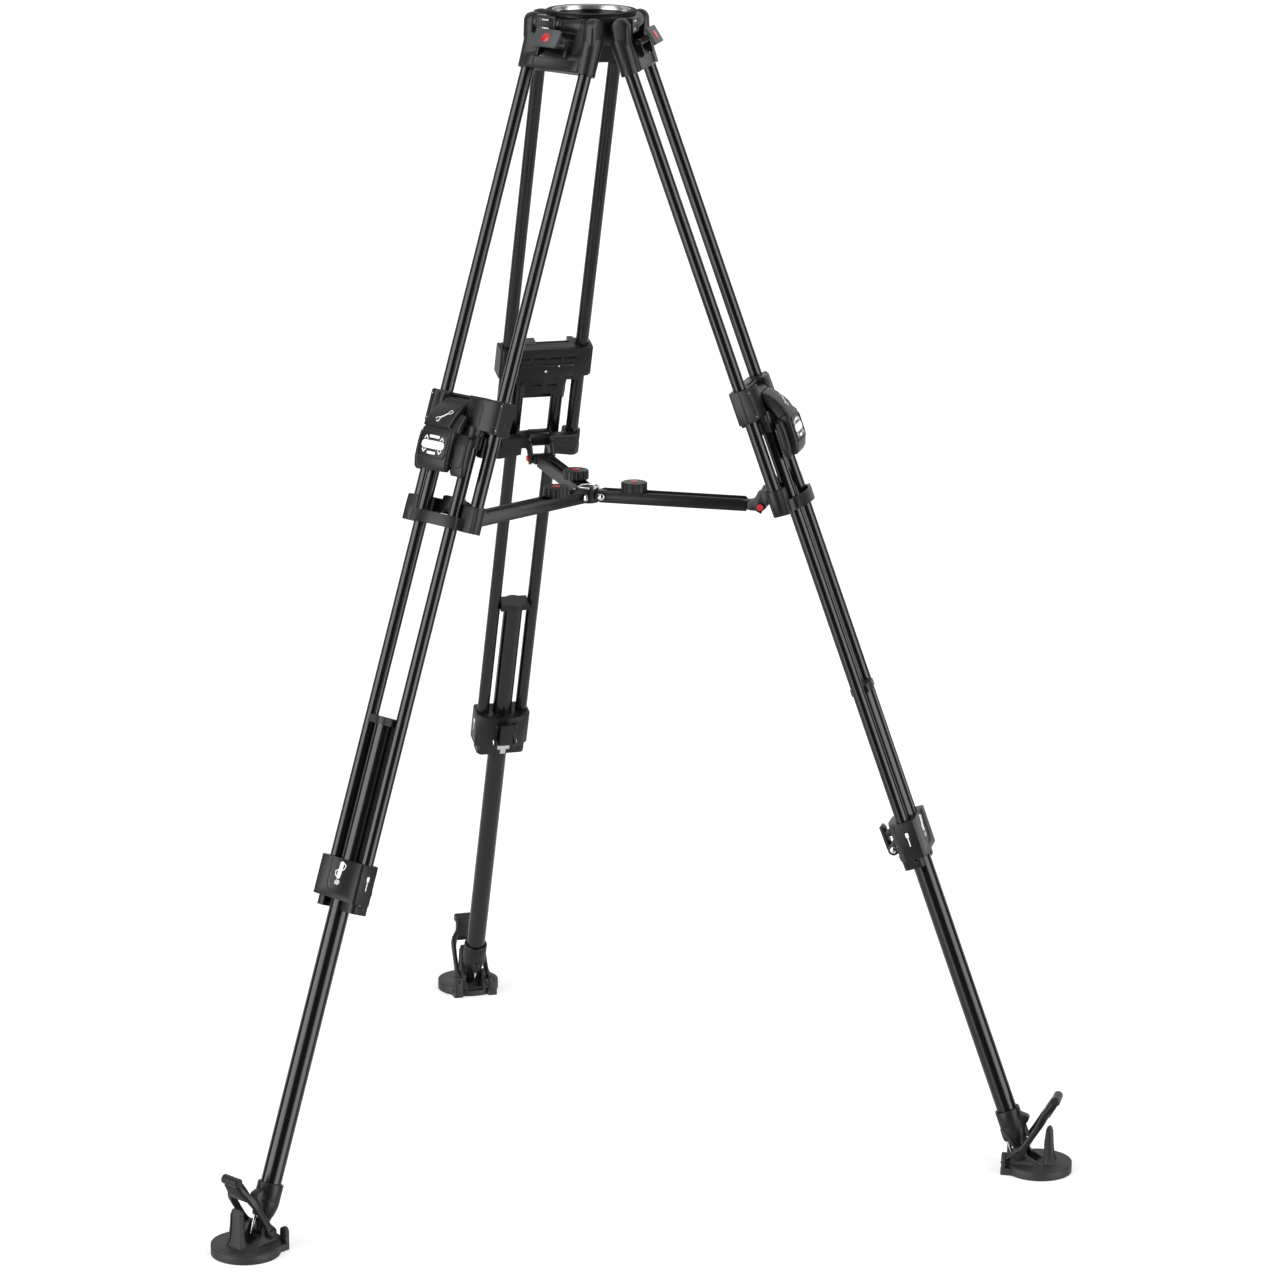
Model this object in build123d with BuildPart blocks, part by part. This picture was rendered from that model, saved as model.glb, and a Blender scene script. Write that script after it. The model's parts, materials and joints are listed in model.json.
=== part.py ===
"""Three-leg, twin-tube video tripod with an empty 100 mm bowl, a mid-level spreader and rubber shoes.

Frame: +Z up, the floor at z = 0, the rear leg towards +Y. The origin lies under the middle of the
footprint, so the bowl's axis stands a little in front of it. Millimetres and degrees.

Two local frames carry the leg parts:
- the leg frame starts where the leg's axis passes the shoulder: X points away from the tripod, square to
  the leg, Y is the tangent and Z runs up the leg, so a station s down the leg is z = -s;
- the spoke frame is level: X points away from the bowl's axis, Y is the tangent and Z is up.
"""
from build123d import *
from math import cos, radians, sin
import os

os.makedirs("parts", exist_ok=True)

# ------------------------------------------------------------------ driving dimensions
LEG_AZIMUTHS = {"a": 210.0, "b": 90.0, "c": 330.0}
leg_tilt = 20.1
line_radius = 59.6
line_height = 1480.0
stage_offset = 12.5

bowl_height = 1540.0
bowl_radius = 50.0
bowl_wall = 3.0
rim_radius = 59.0
rim_thickness = 4.0
throat_radius = 35.0
throat_bottom = 1497.0

hinge_radius = 52.0
hinge_height = 1524.0
hinge_pin_radius = 4.0
hinge_pin_inner = 26.0
hinge_pin_outer = 60.0
barrel_radius = 10.5
barrel_half = 39.8
block_end = 38.6

outer_half = 51.65
outer_tube_radius = 8.75
outer_tube_wall = 1.5
outer_tube_top = -19.5
outer_tube_end = 614.0
socket_radius = 12.7
socket_end = 17.0
seam_station = -30.0
tower_radius = 11.0
tower_station = -36.0
tower_lean = 3.0
boss_radius = 10.0
boss_inner = 40.3
boss_outer = 62.0
tab_pivot = (15.0, 17.0)
tab_pin_radius = 2.0

middle_half = 28.05
middle_tube_radius = 8.5
middle_tube_wall = 1.4
middle_tube_top = 492.0
middle_tube_end = 1120.0
lower_tube_radius = 13.5
lower_tube_wall = 1.6
lower_tube_top = 880.0
lower_tube_end = 1528.0

collar_ring_radius = 13.6
housing_top = 449.0
housing_end = 493.0
sleeve_end = 515.0
sleeve_radius = 11.5
lever_pivot = (13.0, -463.0)
lever_middle = -12.0
lever_half = 22.5
lever_pin_radius = 3.0

bracket_top = 588.0
bracket_end = 622.0
collar_radius = 12.2
band_top = 606.0
band_radius = 70.0
band_wall = 4.0
band_reach = 33.5
pin_spot = (-34.6, -609.2)
pin_radius = 2.8
hook_gap = 0.4
hook_fold_angle = -45
hook_slide_angle = -20

clamp_top = 1066.0
clamp_end = 1118.0
skirt_end = 1131.0
clamp_pivot = (-15.5, -1103.0)
clamp_pin_radius = 2.5

foot_top = 1492.0
foot_end = 1531.0
ankle_height = 26.0
ankle_pin_radius = 4.0
shoe_radius = 45.0
shoe_shift = 24.0
shoe_thickness = 13.0
latch_lean = 31.0
spike_end = 1562.0

arm_pivot = 20.0
arm_pin_radius = 3.0
channel_half = 11.0
channel_rise = 8.0
channel_wall = 2.5
channel_end = 216.0
knob_spot = 62.0
knob_radius = 17.5

ring_wire = 1.5
ring_radius = 13.0
ring_height = 10.4

running = 0.08
fixed = 0.05
loose = 0.3

# ------------------------------------------------------------------ places worked out from them
tilt_cos = cos(radians(leg_tilt))
tilt_sin = sin(radians(leg_tilt))


def on_leg(radius, height):
    """A point of the leg's own plane, from its radius and height, in leg-frame X and Z."""
    away = radius - line_radius
    rise = height - line_height
    return (away * tilt_cos + rise * tilt_sin, rise * tilt_cos - away * tilt_sin)


hinge_spot = on_leg(hinge_radius, hinge_height)
ankle_station = (line_height + stage_offset * tilt_sin - ankle_height) / tilt_cos
ankle_radius = line_radius + stage_offset * tilt_cos + ankle_station * tilt_sin
ankle_spot = (stage_offset, -ankle_station)
shoe_pivot = (0.0, ankle_height)
arm_pin = line_radius + pin_spot[0] * tilt_cos - pin_spot[1] * tilt_sin
hub_height = line_height + pin_spot[0] * tilt_sin + pin_spot[1] * tilt_cos
ring_side = ring_radius * cos(radians(22.5))
# the rear shoe reaches twice as far back as the two front ones reach forward
apex_y = -(ankle_radius + shoe_shift) / 4


def apex_plane(height=0.0):
    """Level plane on the bowl's axis."""
    return Plane(origin=(0, apex_y, height), x_dir=(1, 0, 0), z_dir=(0, 0, 1))


def outward(azimuth):
    """Unit vector away from the bowl's axis."""
    return Vector(cos(radians(azimuth)), sin(radians(azimuth)), 0)


def spoke_plane(azimuth, radius=0.0, height=0.0):
    """Spoke frame of one leg, started at a radius and height."""
    origin = Vector(0, apex_y, height) + outward(azimuth) * radius
    return Plane(origin=origin, x_dir=outward(azimuth), z_dir=(0, 0, 1))


def leg_plane(azimuth):
    """Leg frame of one leg."""
    away = outward(azimuth)
    origin = Vector(0, apex_y, line_height) + away * line_radius
    normal = away * tilt_cos + Vector(0, 0, tilt_sin)
    along = away * -tilt_sin + Vector(0, 0, tilt_cos)
    return Plane(origin=origin, x_dir=normal, z_dir=along)


def side_plane(tangent=0.0):
    """Plane of the leg's side view at one tangent: sketch x is local X, sketch y is local Z."""
    return Plane(origin=(0, tangent, 0), x_dir=(1, 0, 0), z_dir=(0, -1, 0))


# ------------------------------------------------------------------ apex: bowl, casting, hinge pins
def make_bowl_ring():
    """Machined seat for a 100 mm half-ball, with its rim and open throat."""
    throat_height = bowl_height - (bowl_radius**2 - throat_radius**2) ** 0.5
    with BuildPart() as ring:
        with BuildSketch(Plane.XZ):
            with Locations((0, bowl_height)):
                Circle(bowl_radius + bowl_wall)
                Rectangle(140, 140, align=(Align.CENTER, Align.MIN), mode=Mode.SUBTRACT)
            with Locations((throat_radius, bowl_height)):
                Rectangle(200, 200, align=(Align.MAX, Align.CENTER), mode=Mode.SUBTRACT)
            with Locations((throat_radius, throat_bottom)):
                Rectangle(bowl_wall, throat_height - throat_bottom + 4, align=(Align.MIN, Align.MIN))
            with Locations((bowl_radius - 0.2, bowl_height - rim_thickness)):
                Rectangle(rim_radius - bowl_radius + 0.2, rim_thickness, align=(Align.MIN, Align.MIN))
            with Locations((0, bowl_height)):
                Circle(bowl_radius, mode=Mode.SUBTRACT)
        revolve(axis=Axis.Z)
        rim = ring.edges().filter_by(GeomType.CIRCLE).sort_by(Axis.Z)[-2:]
        chamfer(rim, 0.8)
    return ring.part


def make_apex_casting():
    """Black casting under the bowl, with a hinge barrel and an angle block for each leg."""
    outline = [(40, 1497), (50.5, 1511), (54, 1526), (55, 1535.9), (30, 1535.9), (30, 1497)]
    with BuildPart() as casting:
        with BuildSketch(Plane.XZ):
            with BuildLine():
                Polyline(*outline, close=True)
            make_face()
        revolve(axis=Axis.Z)
        for azimuth in LEG_AZIMUTHS.values():
            away = outward(azimuth)
            tangent = away.cross(Vector(0, 0, -1))
            hinge = away * hinge_radius + Vector(0, 0, hinge_height)
            barrel_plane = Plane(origin=hinge, x_dir=away, z_dir=tangent)
            with BuildSketch(barrel_plane.offset(-barrel_half)):
                Circle(barrel_radius)
            extrude(amount=2 * barrel_half)
            for groove in (1.0, 5.0):
                with BuildSketch(barrel_plane.offset(groove)):
                    Circle(barrel_radius + 2)
                    Circle(barrel_radius - 0.9, mode=Mode.SUBTRACT)
                extrude(amount=1.4, mode=Mode.SUBTRACT)
            with BuildSketch(barrel_plane.offset(-block_end)):
                with Locations((3.5, 0)):
                    RectangleRounded(17, 21, 2)
            extrude(amount=block_end - 4)
            with BuildSketch(barrel_plane.offset(-block_end + 4)):
                with Locations((12.5, 0)):
                    Rectangle(3, 1.6)
                with Locations((12.5, 5.4), (12.5, -5.4)):
                    Rectangle(2.2, 6.2)
            extrude(amount=block_end - 12, mode=Mode.SUBTRACT)
            for end in (hinge_pin_inner - 0.2, -barrel_half - 1):
                with BuildSketch(barrel_plane.offset(end)):
                    Circle(hinge_pin_radius + fixed)
                extrude(amount=barrel_half - hinge_pin_inner + 1.2, mode=Mode.SUBTRACT)
        with Locations((0, 0, bowl_height)):
            Sphere(bowl_radius + bowl_wall + fixed, mode=Mode.SUBTRACT)
        with Locations((0, 0, throat_bottom - 1)):
            Cylinder(
                throat_radius + bowl_wall + fixed,
                bowl_height - throat_bottom,
                align=(Align.CENTER, Align.CENTER, Align.MIN),
                mode=Mode.SUBTRACT,
            )
    return casting.part


def make_hinge_pins():
    """Six short stub pins, two for each leg."""
    with BuildPart() as pins:
        for azimuth in LEG_AZIMUTHS.values():
            away = outward(azimuth)
            tangent = away.cross(Vector(0, 0, -1))
            hinge = away * hinge_radius + Vector(0, 0, hinge_height)
            for side in (1, -1):
                start = hinge + tangent * (side * hinge_pin_inner)
                with BuildSketch(Plane(origin=start, x_dir=away, z_dir=tangent * side)):
                    Circle(hinge_pin_radius)
                extrude(amount=hinge_pin_outer - hinge_pin_inner)
    return pins.part


# ------------------------------------------------------------------ leg, first stage
def make_shoulder():
    """Twin-socket casting that hangs on the hinge pins and holds the two outer tubes."""
    bar = [(-9, 11), (7, 12.5), (14, 1), (14, -15), (12, -17), (-6, -17), (-9, -14)]
    with BuildPart() as shoulder:
        with BuildSketch(side_plane()):
            with BuildLine():
                Polyline(*bar, close=True)
            make_face()
        extrude(amount=outer_half - 4, both=True)
        with BuildSketch(Plane.XY.offset(-socket_end)):
            with Locations((0, outer_half), (0, -outer_half)):
                Circle(socket_radius)
        extrude(amount=socket_end - seam_station)
        with BuildSketch(Plane.XY.offset(-seam_station)):
            with Locations((tower_lean / 2, outer_half), (tower_lean / 2, -outer_half)):
                Circle(tower_radius)
        extrude(amount=seam_station - tower_station)
        with Locations((tower_lean, outer_half, -tower_station), (tower_lean, -outer_half, -tower_station)):
            Sphere(tower_radius)
        for side in (1, -1):
            with BuildSketch(Plane.YZ.offset(-5)):
                with BuildLine():
                    ThreePointArc((side * 14, 9), (side * 32, 15), (side * 41.5, 31))
                    Polyline(
                        (side * 41.5, 31), (side * 46, 31), (side * 46, 6), (side * 14, 6), (side * 14, 9)
                    )
                make_face()
            extrude(amount=12)
            with BuildSketch(side_plane(side * 24.5)):
                with Locations((13.5, 10)):
                    RectangleRounded(11, 24, 4)
            extrude(amount=2.1, both=True)
            boss = Plane(origin=(hinge_spot[0], side * boss_inner, hinge_spot[1]), x_dir=(1, 0, 0),
                         z_dir=(0, side, 0))
            with BuildSketch(boss):
                Circle(boss_radius)
            extrude(amount=boss_outer - boss_inner)
            with BuildSketch(boss):
                Circle(hinge_pin_radius + running)
            extrude(amount=hinge_pin_outer - boss_inner + 0.6, mode=Mode.SUBTRACT)
        with BuildSketch(Plane.XY.offset(-socket_end)):
            with Locations((0, outer_half), (0, -outer_half)):
                Circle(outer_tube_radius + fixed)
        extrude(amount=socket_end - outer_tube_top + 0.5, mode=Mode.SUBTRACT)
        with BuildSketch(side_plane()):
            with Locations(tab_pivot):
                Circle(tab_pin_radius + running)
        extrude(amount=30, both=True, mode=Mode.SUBTRACT)
        with BuildSketch(Plane.YZ.offset(14)):
            with Locations((0, -8.5)):
                RectangleRounded(66, 12, 2)
        extrude(amount=-1.2, mode=Mode.SUBTRACT)
    return shoulder.part


def make_angle_tab():
    """Sprung tab that releases the leg's angle stop."""
    stem = [(15, 14.5), (30, 17), (31, 23), (15, 21.5)]
    plate = [(28.3, 31), (31.8, 31.4), (37, 8), (33.4, 7)]
    with BuildPart() as tab:
        with BuildSketch(side_plane()):
            with BuildLine():
                Polyline(*stem, close=True)
            make_face()
        extrude(amount=12, both=True)
        with BuildSketch(side_plane()):
            with BuildLine():
                Polyline(*plate, close=True)
            make_face()
        extrude(amount=21.5, both=True)
        corners = tab.edges().filter_by(GeomType.LINE).filter_by(
            lambda edge: abs(edge.center().Y) > 21 and abs(edge.tangent_at(0).Y) < 0.1 and edge.length < 4.5
        )
        fillet(corners, 2.5)
        with BuildSketch(side_plane()):
            with Locations(tab_pivot):
                Circle(4.0)
        extrude(amount=22.1, both=True)
        with BuildSketch(side_plane()):
            with Locations(tab_pivot):
                Circle(tab_pin_radius)
        extrude(amount=26.4, both=True)
    return tab.part


def make_tube_pair(offset, half, radius, wall, top, end):
    """Two parallel round tubes of one leg stage."""
    with BuildPart() as pair:
        with BuildSketch(Plane.XY.offset(-end)):
            with Locations((offset, half), (offset, -half)):
                Circle(radius)
                Circle(radius - wall, mode=Mode.SUBTRACT)
        extrude(amount=end - top)
    return pair.part


def make_spreader_bracket():
    """Casting across the outer tubes' lower ends, with the arch and hooks for the spreader pin."""
    centre = band_reach - band_radius
    ear = [(-16, -586), (-30, -588), (-42.5, -600), (-42.5, -612), (-37, -618), (-26, -607), (-16, -600)]
    hump = [(-6, -580), (-16, -580), (-18, -584), (-18, -598), (-16, -600), (-6, -600)]
    cheek = [(-6, -581), (-22, -583), (-27, -590), (-27, -600), (-20, -604), (-6, -604)]
    with BuildPart() as bracket:
        with BuildSketch(Plane.XY.offset(-bracket_end)):
            with Locations((0, outer_half), (0, -outer_half)):
                Circle(collar_radius)
        extrude(amount=bracket_end - bracket_top)
        with BuildSketch(Plane.XY.offset(-bracket_end)):
            with Locations((centre, 0)):
                Circle(band_radius)
                Circle(band_radius - band_wall, mode=Mode.SUBTRACT)
            with Locations((-6, 0)):
                Rectangle(200, 200, align=(Align.MAX, Align.CENTER), mode=Mode.SUBTRACT)
        extrude(amount=bracket_end - band_top)
        with BuildSketch(side_plane()):
            with Locations((-12, -595)):
                RectangleRounded(12, 18, 1.5)
        extrude(amount=outer_half, both=True)
        with BuildSketch(side_plane()):
            with BuildLine():
                Polyline(*hump, close=True)
            make_face()
        extrude(amount=14, both=True)
        with BuildSketch(side_plane()):
            with Locations((-12, -603)):
                Rectangle(30, 6)
        extrude(amount=12.8, both=True, mode=Mode.SUBTRACT)
        for side in (1, -1):
            with BuildSketch(side_plane(side * 15)):
                with BuildLine():
                    Polyline(*ear, close=True)
                make_face()
            extrude(amount=2, both=True)
            with BuildSketch(side_plane(side * 15.2)):
                with BuildLine():
                    Polyline(*cheek, close=True)
                make_face()
            extrude(amount=2.2, both=True)
        with BuildSketch(side_plane()):
            with Locations(pin_spot):
                Circle(pin_radius + hook_gap)
            for angle in (hook_fold_angle, hook_slide_angle):
                with Locations(Location((pin_spot[0], pin_spot[1]), angle)):
                    Rectangle(30, 2 * (pin_radius + hook_gap), align=(Align.MIN, Align.CENTER))
        extrude(amount=30, both=True, mode=Mode.SUBTRACT)
        with BuildSketch(Plane.XY.offset(-outer_tube_end - 1)):
            with Locations((0, outer_half), (0, -outer_half)):
                Circle(outer_tube_radius + fixed)
        extrude(amount=outer_tube_end - bracket_top + 10, mode=Mode.SUBTRACT)
    return bracket.part


# ------------------------------------------------------------------ leg, second stage
def make_lock_housing():
    """Carriage at the top of the middle tubes that slides on the outer tubes and carries the lever."""
    height = housing_end - housing_top
    with BuildPart() as housing:
        with BuildSketch(Plane.XY.offset(-housing_end)):
            with Locations((0, outer_half), (0, -outer_half)):
                Circle(collar_ring_radius)
            with Locations((-3, 0)):
                RectangleRounded(22, 2 * outer_half + 22, 3)
        extrude(amount=height)
        with BuildSketch(Plane.XY.offset(-housing_end - 6)):
            with Locations((9, 0)):
                RectangleRounded(22, 88, 4)
        extrude(amount=height + 6)
        with BuildSketch(side_plane(lever_middle)):
            with Locations((lever_pivot[0] - 9.2, 5 - housing_top)):
                Rectangle(60, 100, align=(Align.MIN, Align.MAX))
        extrude(amount=lever_half + 0.8, both=True, mode=Mode.SUBTRACT)
        with BuildSketch(Plane.XY.offset(-sleeve_end)):
            with Locations((stage_offset, middle_half), (stage_offset, -middle_half)):
                Circle(sleeve_radius)
        extrude(amount=sleeve_end - housing_end + 5)
        with BuildSketch(Plane.YZ.offset(-14)):
            with Locations((0, -488)):
                Rectangle(56, 36, align=(Align.CENTER, Align.MAX))
            with Locations((0, -560)):
                Circle(42, mode=Mode.SUBTRACT)
            with Locations((0, -492)):
                Rectangle(102, 12)
        extrude(amount=5)
        with BuildSketch(Plane.XY.offset(-sleeve_end)):
            with Locations((stage_offset, middle_half), (stage_offset, -middle_half)):
                Circle(middle_tube_radius + fixed)
        extrude(amount=sleeve_end - middle_tube_top + 0.5, mode=Mode.SUBTRACT)
        with BuildSketch(Plane.XY.offset(-housing_end - 20)):
            with Locations((0, outer_half), (0, -outer_half)):
                Circle(outer_tube_radius + running)
        extrude(amount=height + 30, mode=Mode.SUBTRACT)
        with BuildSketch(side_plane()):
            with Locations(lever_pivot):
                Circle(lever_pin_radius + running)
        extrude(amount=41, both=True, mode=Mode.SUBTRACT)
        with BuildSketch(Plane.YZ.offset(-14)):
            with Locations((-33, -463), (-11, -463), (11, -463), (33, -463)):
                Rectangle(18, 3.2)
            with Locations((-11, -505), (11, -505)):
                Rectangle(14, 3)
        extrude(amount=2, mode=Mode.SUBTRACT)
        with BuildSketch(Plane.YZ.offset(20)):
            with Locations((27.5, -476)):
                SlotCenterToCenter(8, 22, rotation=90)
        extrude(amount=-0.8, mode=Mode.SUBTRACT)
    return housing.part


def make_quick_lever():
    """Flip lever that clamps both lower stages at once."""
    arm = [(9, -458), (17, -456.5), (24, -461), (44, -497), (47, -505), (46, -540), (42, -553), (35, -556),
           (31, -551), (29.8, -512), (26, -500), (25.4, -487), (12, -471)]
    wing = [(26, -500), (36, -502), (38, -520), (37, -545), (33, -557), (28, -557), (26, -540)]
    with BuildPart() as lever:
        with BuildSketch(side_plane(lever_middle)):
            with BuildLine():
                Polyline(*arm, close=True)
            make_face()
        extrude(amount=lever_half, both=True)
        with BuildSketch(side_plane(-5.5)):
            with BuildLine():
                Polyline(*arm[3:10], close=True)
            make_face()
        extrude(amount=28, both=True)
        with BuildSketch(side_plane(0)):
            with BuildLine():
                Polyline(*wing, close=True)
            make_face()
        extrude(amount=45, both=True)
        with BuildSketch(side_plane(lever_middle)):
            with Locations(lever_pivot):
                Circle(7.5)
        extrude(amount=lever_half, both=True)
        with BuildSketch(side_plane(lever_middle)):
            with Locations(lever_pivot):
                Circle(lever_pin_radius)
        extrude(amount=lever_half + 5.5, both=True)
    return lever.part


# ------------------------------------------------------------------ leg, second to third stage clamp
def make_lower_clamp():
    """Block at the foot of the middle tubes through which the lower tube slides."""
    outline = [(30, -36), (30, 36), (27.5, 38.5), (2, 39), (-8, 27), (-11, 12), (-11, -12), (-8, -27),
               (2, -39), (27.5, -38.5)]
    with BuildPart() as clamp:
        with BuildSketch(Plane.XY.offset(-clamp_end)):
            with BuildLine():
                Polyline(*outline, close=True)
            make_face()
        extrude(amount=clamp_end - clamp_top)
        with BuildSketch(Plane.XY.offset(-skirt_end)):
            with Locations((9, 0)):
                RectangleRounded(30, 70, 8)
            with Locations((24, -4)):
                Rectangle(24, 34, mode=Mode.SUBTRACT)
        extrude(amount=skirt_end - clamp_end)
        for side in (1, -1):
            with BuildSketch(side_plane(side * 13.5)):
                with Locations(clamp_pivot):
                    Circle(6)
                with Locations((clamp_pivot[0] + 5, clamp_pivot[1])):
                    Rectangle(10, 12)
            extrude(amount=2.5, both=True)
        with BuildSketch(side_plane()):
            with Locations(clamp_pivot):
                Circle(clamp_pin_radius + running)
        extrude(amount=20, both=True, mode=Mode.SUBTRACT)
        with BuildSketch(Plane.XY.offset(-clamp_top)):
            with Locations((stage_offset, middle_half), (stage_offset, -middle_half)):
                Circle(middle_tube_radius + fixed)
        extrude(amount=clamp_top - middle_tube_end - 1, mode=Mode.SUBTRACT)
        with BuildSketch(Plane.XY.offset(-clamp_top)):
            with Locations((stage_offset, 0)):
                Circle(lower_tube_radius + running)
        extrude(amount=clamp_top - skirt_end, mode=Mode.SUBTRACT)
        with BuildSketch(Plane.YZ.offset(30)):
            with Locations((0, -1082)):
                Rectangle(34, 34)
            with Locations((0, -1099)):
                Ellipse(17, 12)
        extrude(amount=-0.8, mode=Mode.SUBTRACT)
    return clamp.part


def make_clamp_lever():
    """Small flip lever on the inner side of the clamp."""
    plate = [(-20.5, -1101), (-20.5, -1074), (-23.5, -1069), (-26, -1070), (-25, -1102), (-17, -1107)]
    with BuildPart() as lever:
        with BuildSketch(side_plane()):
            with BuildLine():
                Polyline(*plate, close=True)
            make_face()
        extrude(amount=9.5, both=True)
        with BuildSketch(side_plane()):
            with Locations(clamp_pivot):
                Circle(4.2)
        extrude(amount=10.7, both=True)
        with BuildSketch(side_plane()):
            with Locations((clamp_pivot[0] - 3, clamp_pivot[1])):
                Rectangle(8, 5)
        extrude(amount=9.5, both=True)
        with BuildSketch(side_plane()):
            with Locations(clamp_pivot):
                Circle(clamp_pin_radius)
        extrude(amount=17.2, both=True)
    return lever.part


# ------------------------------------------------------------------ leg, third stage and foot
def make_tube_cap():
    """Guide on top of the lower tube that runs between the two middle tubes."""
    with BuildPart() as cap:
        with BuildSketch(Plane.XY.offset(-887)):
            with Locations((stage_offset, 0)):
                Circle(15)
                Rectangle(24, 42)
            with Locations((stage_offset, middle_half), (stage_offset, -middle_half)):
                Circle(middle_tube_radius + loose, mode=Mode.SUBTRACT)
        extrude(amount=10)
        chamfer(cap.faces().sort_by(Axis.Z)[-1].edges(), 0.8)
        with BuildSketch(Plane.XY.offset(-887)):
            with Locations((stage_offset, 0)):
                Circle(lower_tube_radius + fixed)
        extrude(amount=7.1, mode=Mode.SUBTRACT)
    return cap.part


def make_lower_tube():
    """Single round tube of the third stage."""
    with BuildPart() as tube:
        with BuildSketch(Plane.XY.offset(-lower_tube_end)):
            with Locations((stage_offset, 0)):
                Circle(lower_tube_radius)
                Circle(lower_tube_radius - lower_tube_wall, mode=Mode.SUBTRACT)
        extrude(amount=lower_tube_end - lower_tube_top)
    return tube.part


def make_foot():
    """Foot casting with the ankle knuckle and two steel spikes."""
    spike_offset = 12.9
    with BuildPart() as foot:
        with BuildSketch(Plane.XY.offset(-foot_end)):
            with Locations((stage_offset, 0)):
                Circle(17)
        extrude(amount=foot_end - foot_top)
        chamfer(foot.edges().filter_by(GeomType.CIRCLE), 1.5)
        with BuildSketch(Plane.XY.offset(-lower_tube_end - 0.5)):
            with Locations((stage_offset, 0)):
                Circle(lower_tube_radius + fixed)
        extrude(amount=lower_tube_end - foot_top + 3, mode=Mode.SUBTRACT)
        with BuildSketch(side_plane()):
            with Locations(ankle_spot):
                Circle(8)
            with Locations((stage_offset, -foot_end + 1)):
                Rectangle(16, ankle_station - foot_end + 1, align=(Align.CENTER, Align.MAX))
        extrude(amount=9, both=True)
        with BuildSketch(side_plane()):
            with Locations(ankle_spot):
                Circle(ankle_pin_radius + running)
        extrude(amount=12, both=True, mode=Mode.SUBTRACT)
        for offset in (stage_offset - spike_offset, stage_offset + spike_offset):
            with BuildSketch(Plane.XY.offset(-foot_end)):
                with Locations((offset, 0)):
                    Circle(3.3)
            with BuildSketch(Plane.XY.offset(-spike_end)):
                with Locations((offset, 0)):
                    Circle(0.7)
            loft()
    return foot.part


# ------------------------------------------------------------------ shoe (spoke frame under the ankle)
def make_shoe():
    """Rubber shoe: round pad, ankle uprights, latch post and two holed tabs."""
    post = [(33, 10), (32, 40), (34, 60), (38, 62), (41, 59), (41, 36), (44, 10)]
    cheek = [(-24, 12), (-9, 24), (9, 24), (30, 12)]
    with BuildPart() as shoe:
        with BuildSketch(Plane.XY):
            with Locations((shoe_shift, 0)):
                Circle(shoe_radius)
        extrude(amount=shoe_thickness)
        chamfer(shoe.faces().sort_by(Axis.Z)[-1].edges(), 2)
        with BuildSketch(Plane.XY):
            with Locations((-14, 26), (-14, -26)):
                RectangleRounded(18, 14, 3)
        extrude(amount=9)
        for side in (1, -1):
            with BuildSketch(side_plane(side * 15.3)):
                with BuildLine():
                    Polyline(*cheek, close=True)
                make_face()
                with Locations(shoe_pivot):
                    Circle(9)
            extrude(amount=3.3, both=True)
            with BuildSketch(Plane.YZ.offset(-22)):
                with Locations((side * 26, 0)):
                    Rectangle(12, 24, align=(Align.CENTER, Align.MIN))
                with Locations((side * 26, 24)):
                    Circle(6)
                    Circle(2.5, mode=Mode.SUBTRACT)
            extrude(amount=5)
        with BuildSketch(side_plane()):
            with BuildLine():
                Polyline(*post, close=True)
            make_face()
        extrude(amount=8, both=True)
        with BuildSketch(side_plane()):
            with Locations(shoe_pivot):
                Circle(ankle_pin_radius + running)
        extrude(amount=20, both=True, mode=Mode.SUBTRACT)
        with BuildSketch(Plane.XY.offset(8)):
            Rectangle(44, 23.2)
        extrude(amount=10, mode=Mode.SUBTRACT)
    return shoe.part


def make_shoe_lever():
    """Forked latch lever with a cross handle, turning on the ankle pin."""
    lean = radians(latch_lean)
    away = (sin(lean), cos(lean))
    neck_plane = Plane(
        origin=(shoe_pivot[0], 0, shoe_pivot[1]), x_dir=(0, 1, 0), z_dir=(-away[1], 0, away[0])
    )
    with BuildPart() as lever:
        for side in (1, -1):
            with BuildSketch(side_plane(side * 22.4)):
                with Locations(shoe_pivot):
                    Circle(8)
                with Locations(Location(shoe_pivot, 90 - latch_lean)):
                    Rectangle(62, 9, align=(Align.MIN, Align.CENTER))
            extrude(amount=3.1, both=True)
            with BuildSketch(side_plane(side * 25)):
                with Locations(shoe_pivot):
                    Circle(6)
            extrude(amount=2, both=True)
        with BuildSketch(neck_plane):
            with BuildLine():
                Polyline((-25.5, -57), (25.5, -57), (13, -86), (-13, -86), close=True)
            make_face()
        extrude(amount=4.5, both=True)
        for rib in range(4):
            reach = 70 + 4 * rib
            rib_x = shoe_pivot[0] + away[0] * reach + 4.2 * away[1]
            rib_z = shoe_pivot[1] + away[1] * reach - 4.2 * away[0]
            with BuildSketch(side_plane()):
                with Locations((rib_x, rib_z)):
                    Circle(1.3)
            extrude(amount=14, both=True)
        with BuildSketch(side_plane()):
            with Locations((away[0] * 90, ankle_height + away[1] * 90)):
                Circle(6)
        extrude(amount=15, both=True)
        with BuildSketch(side_plane()):
            with Locations(shoe_pivot):
                Circle(ankle_pin_radius)
        extrude(amount=25, both=True)
    return lever.part


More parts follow.
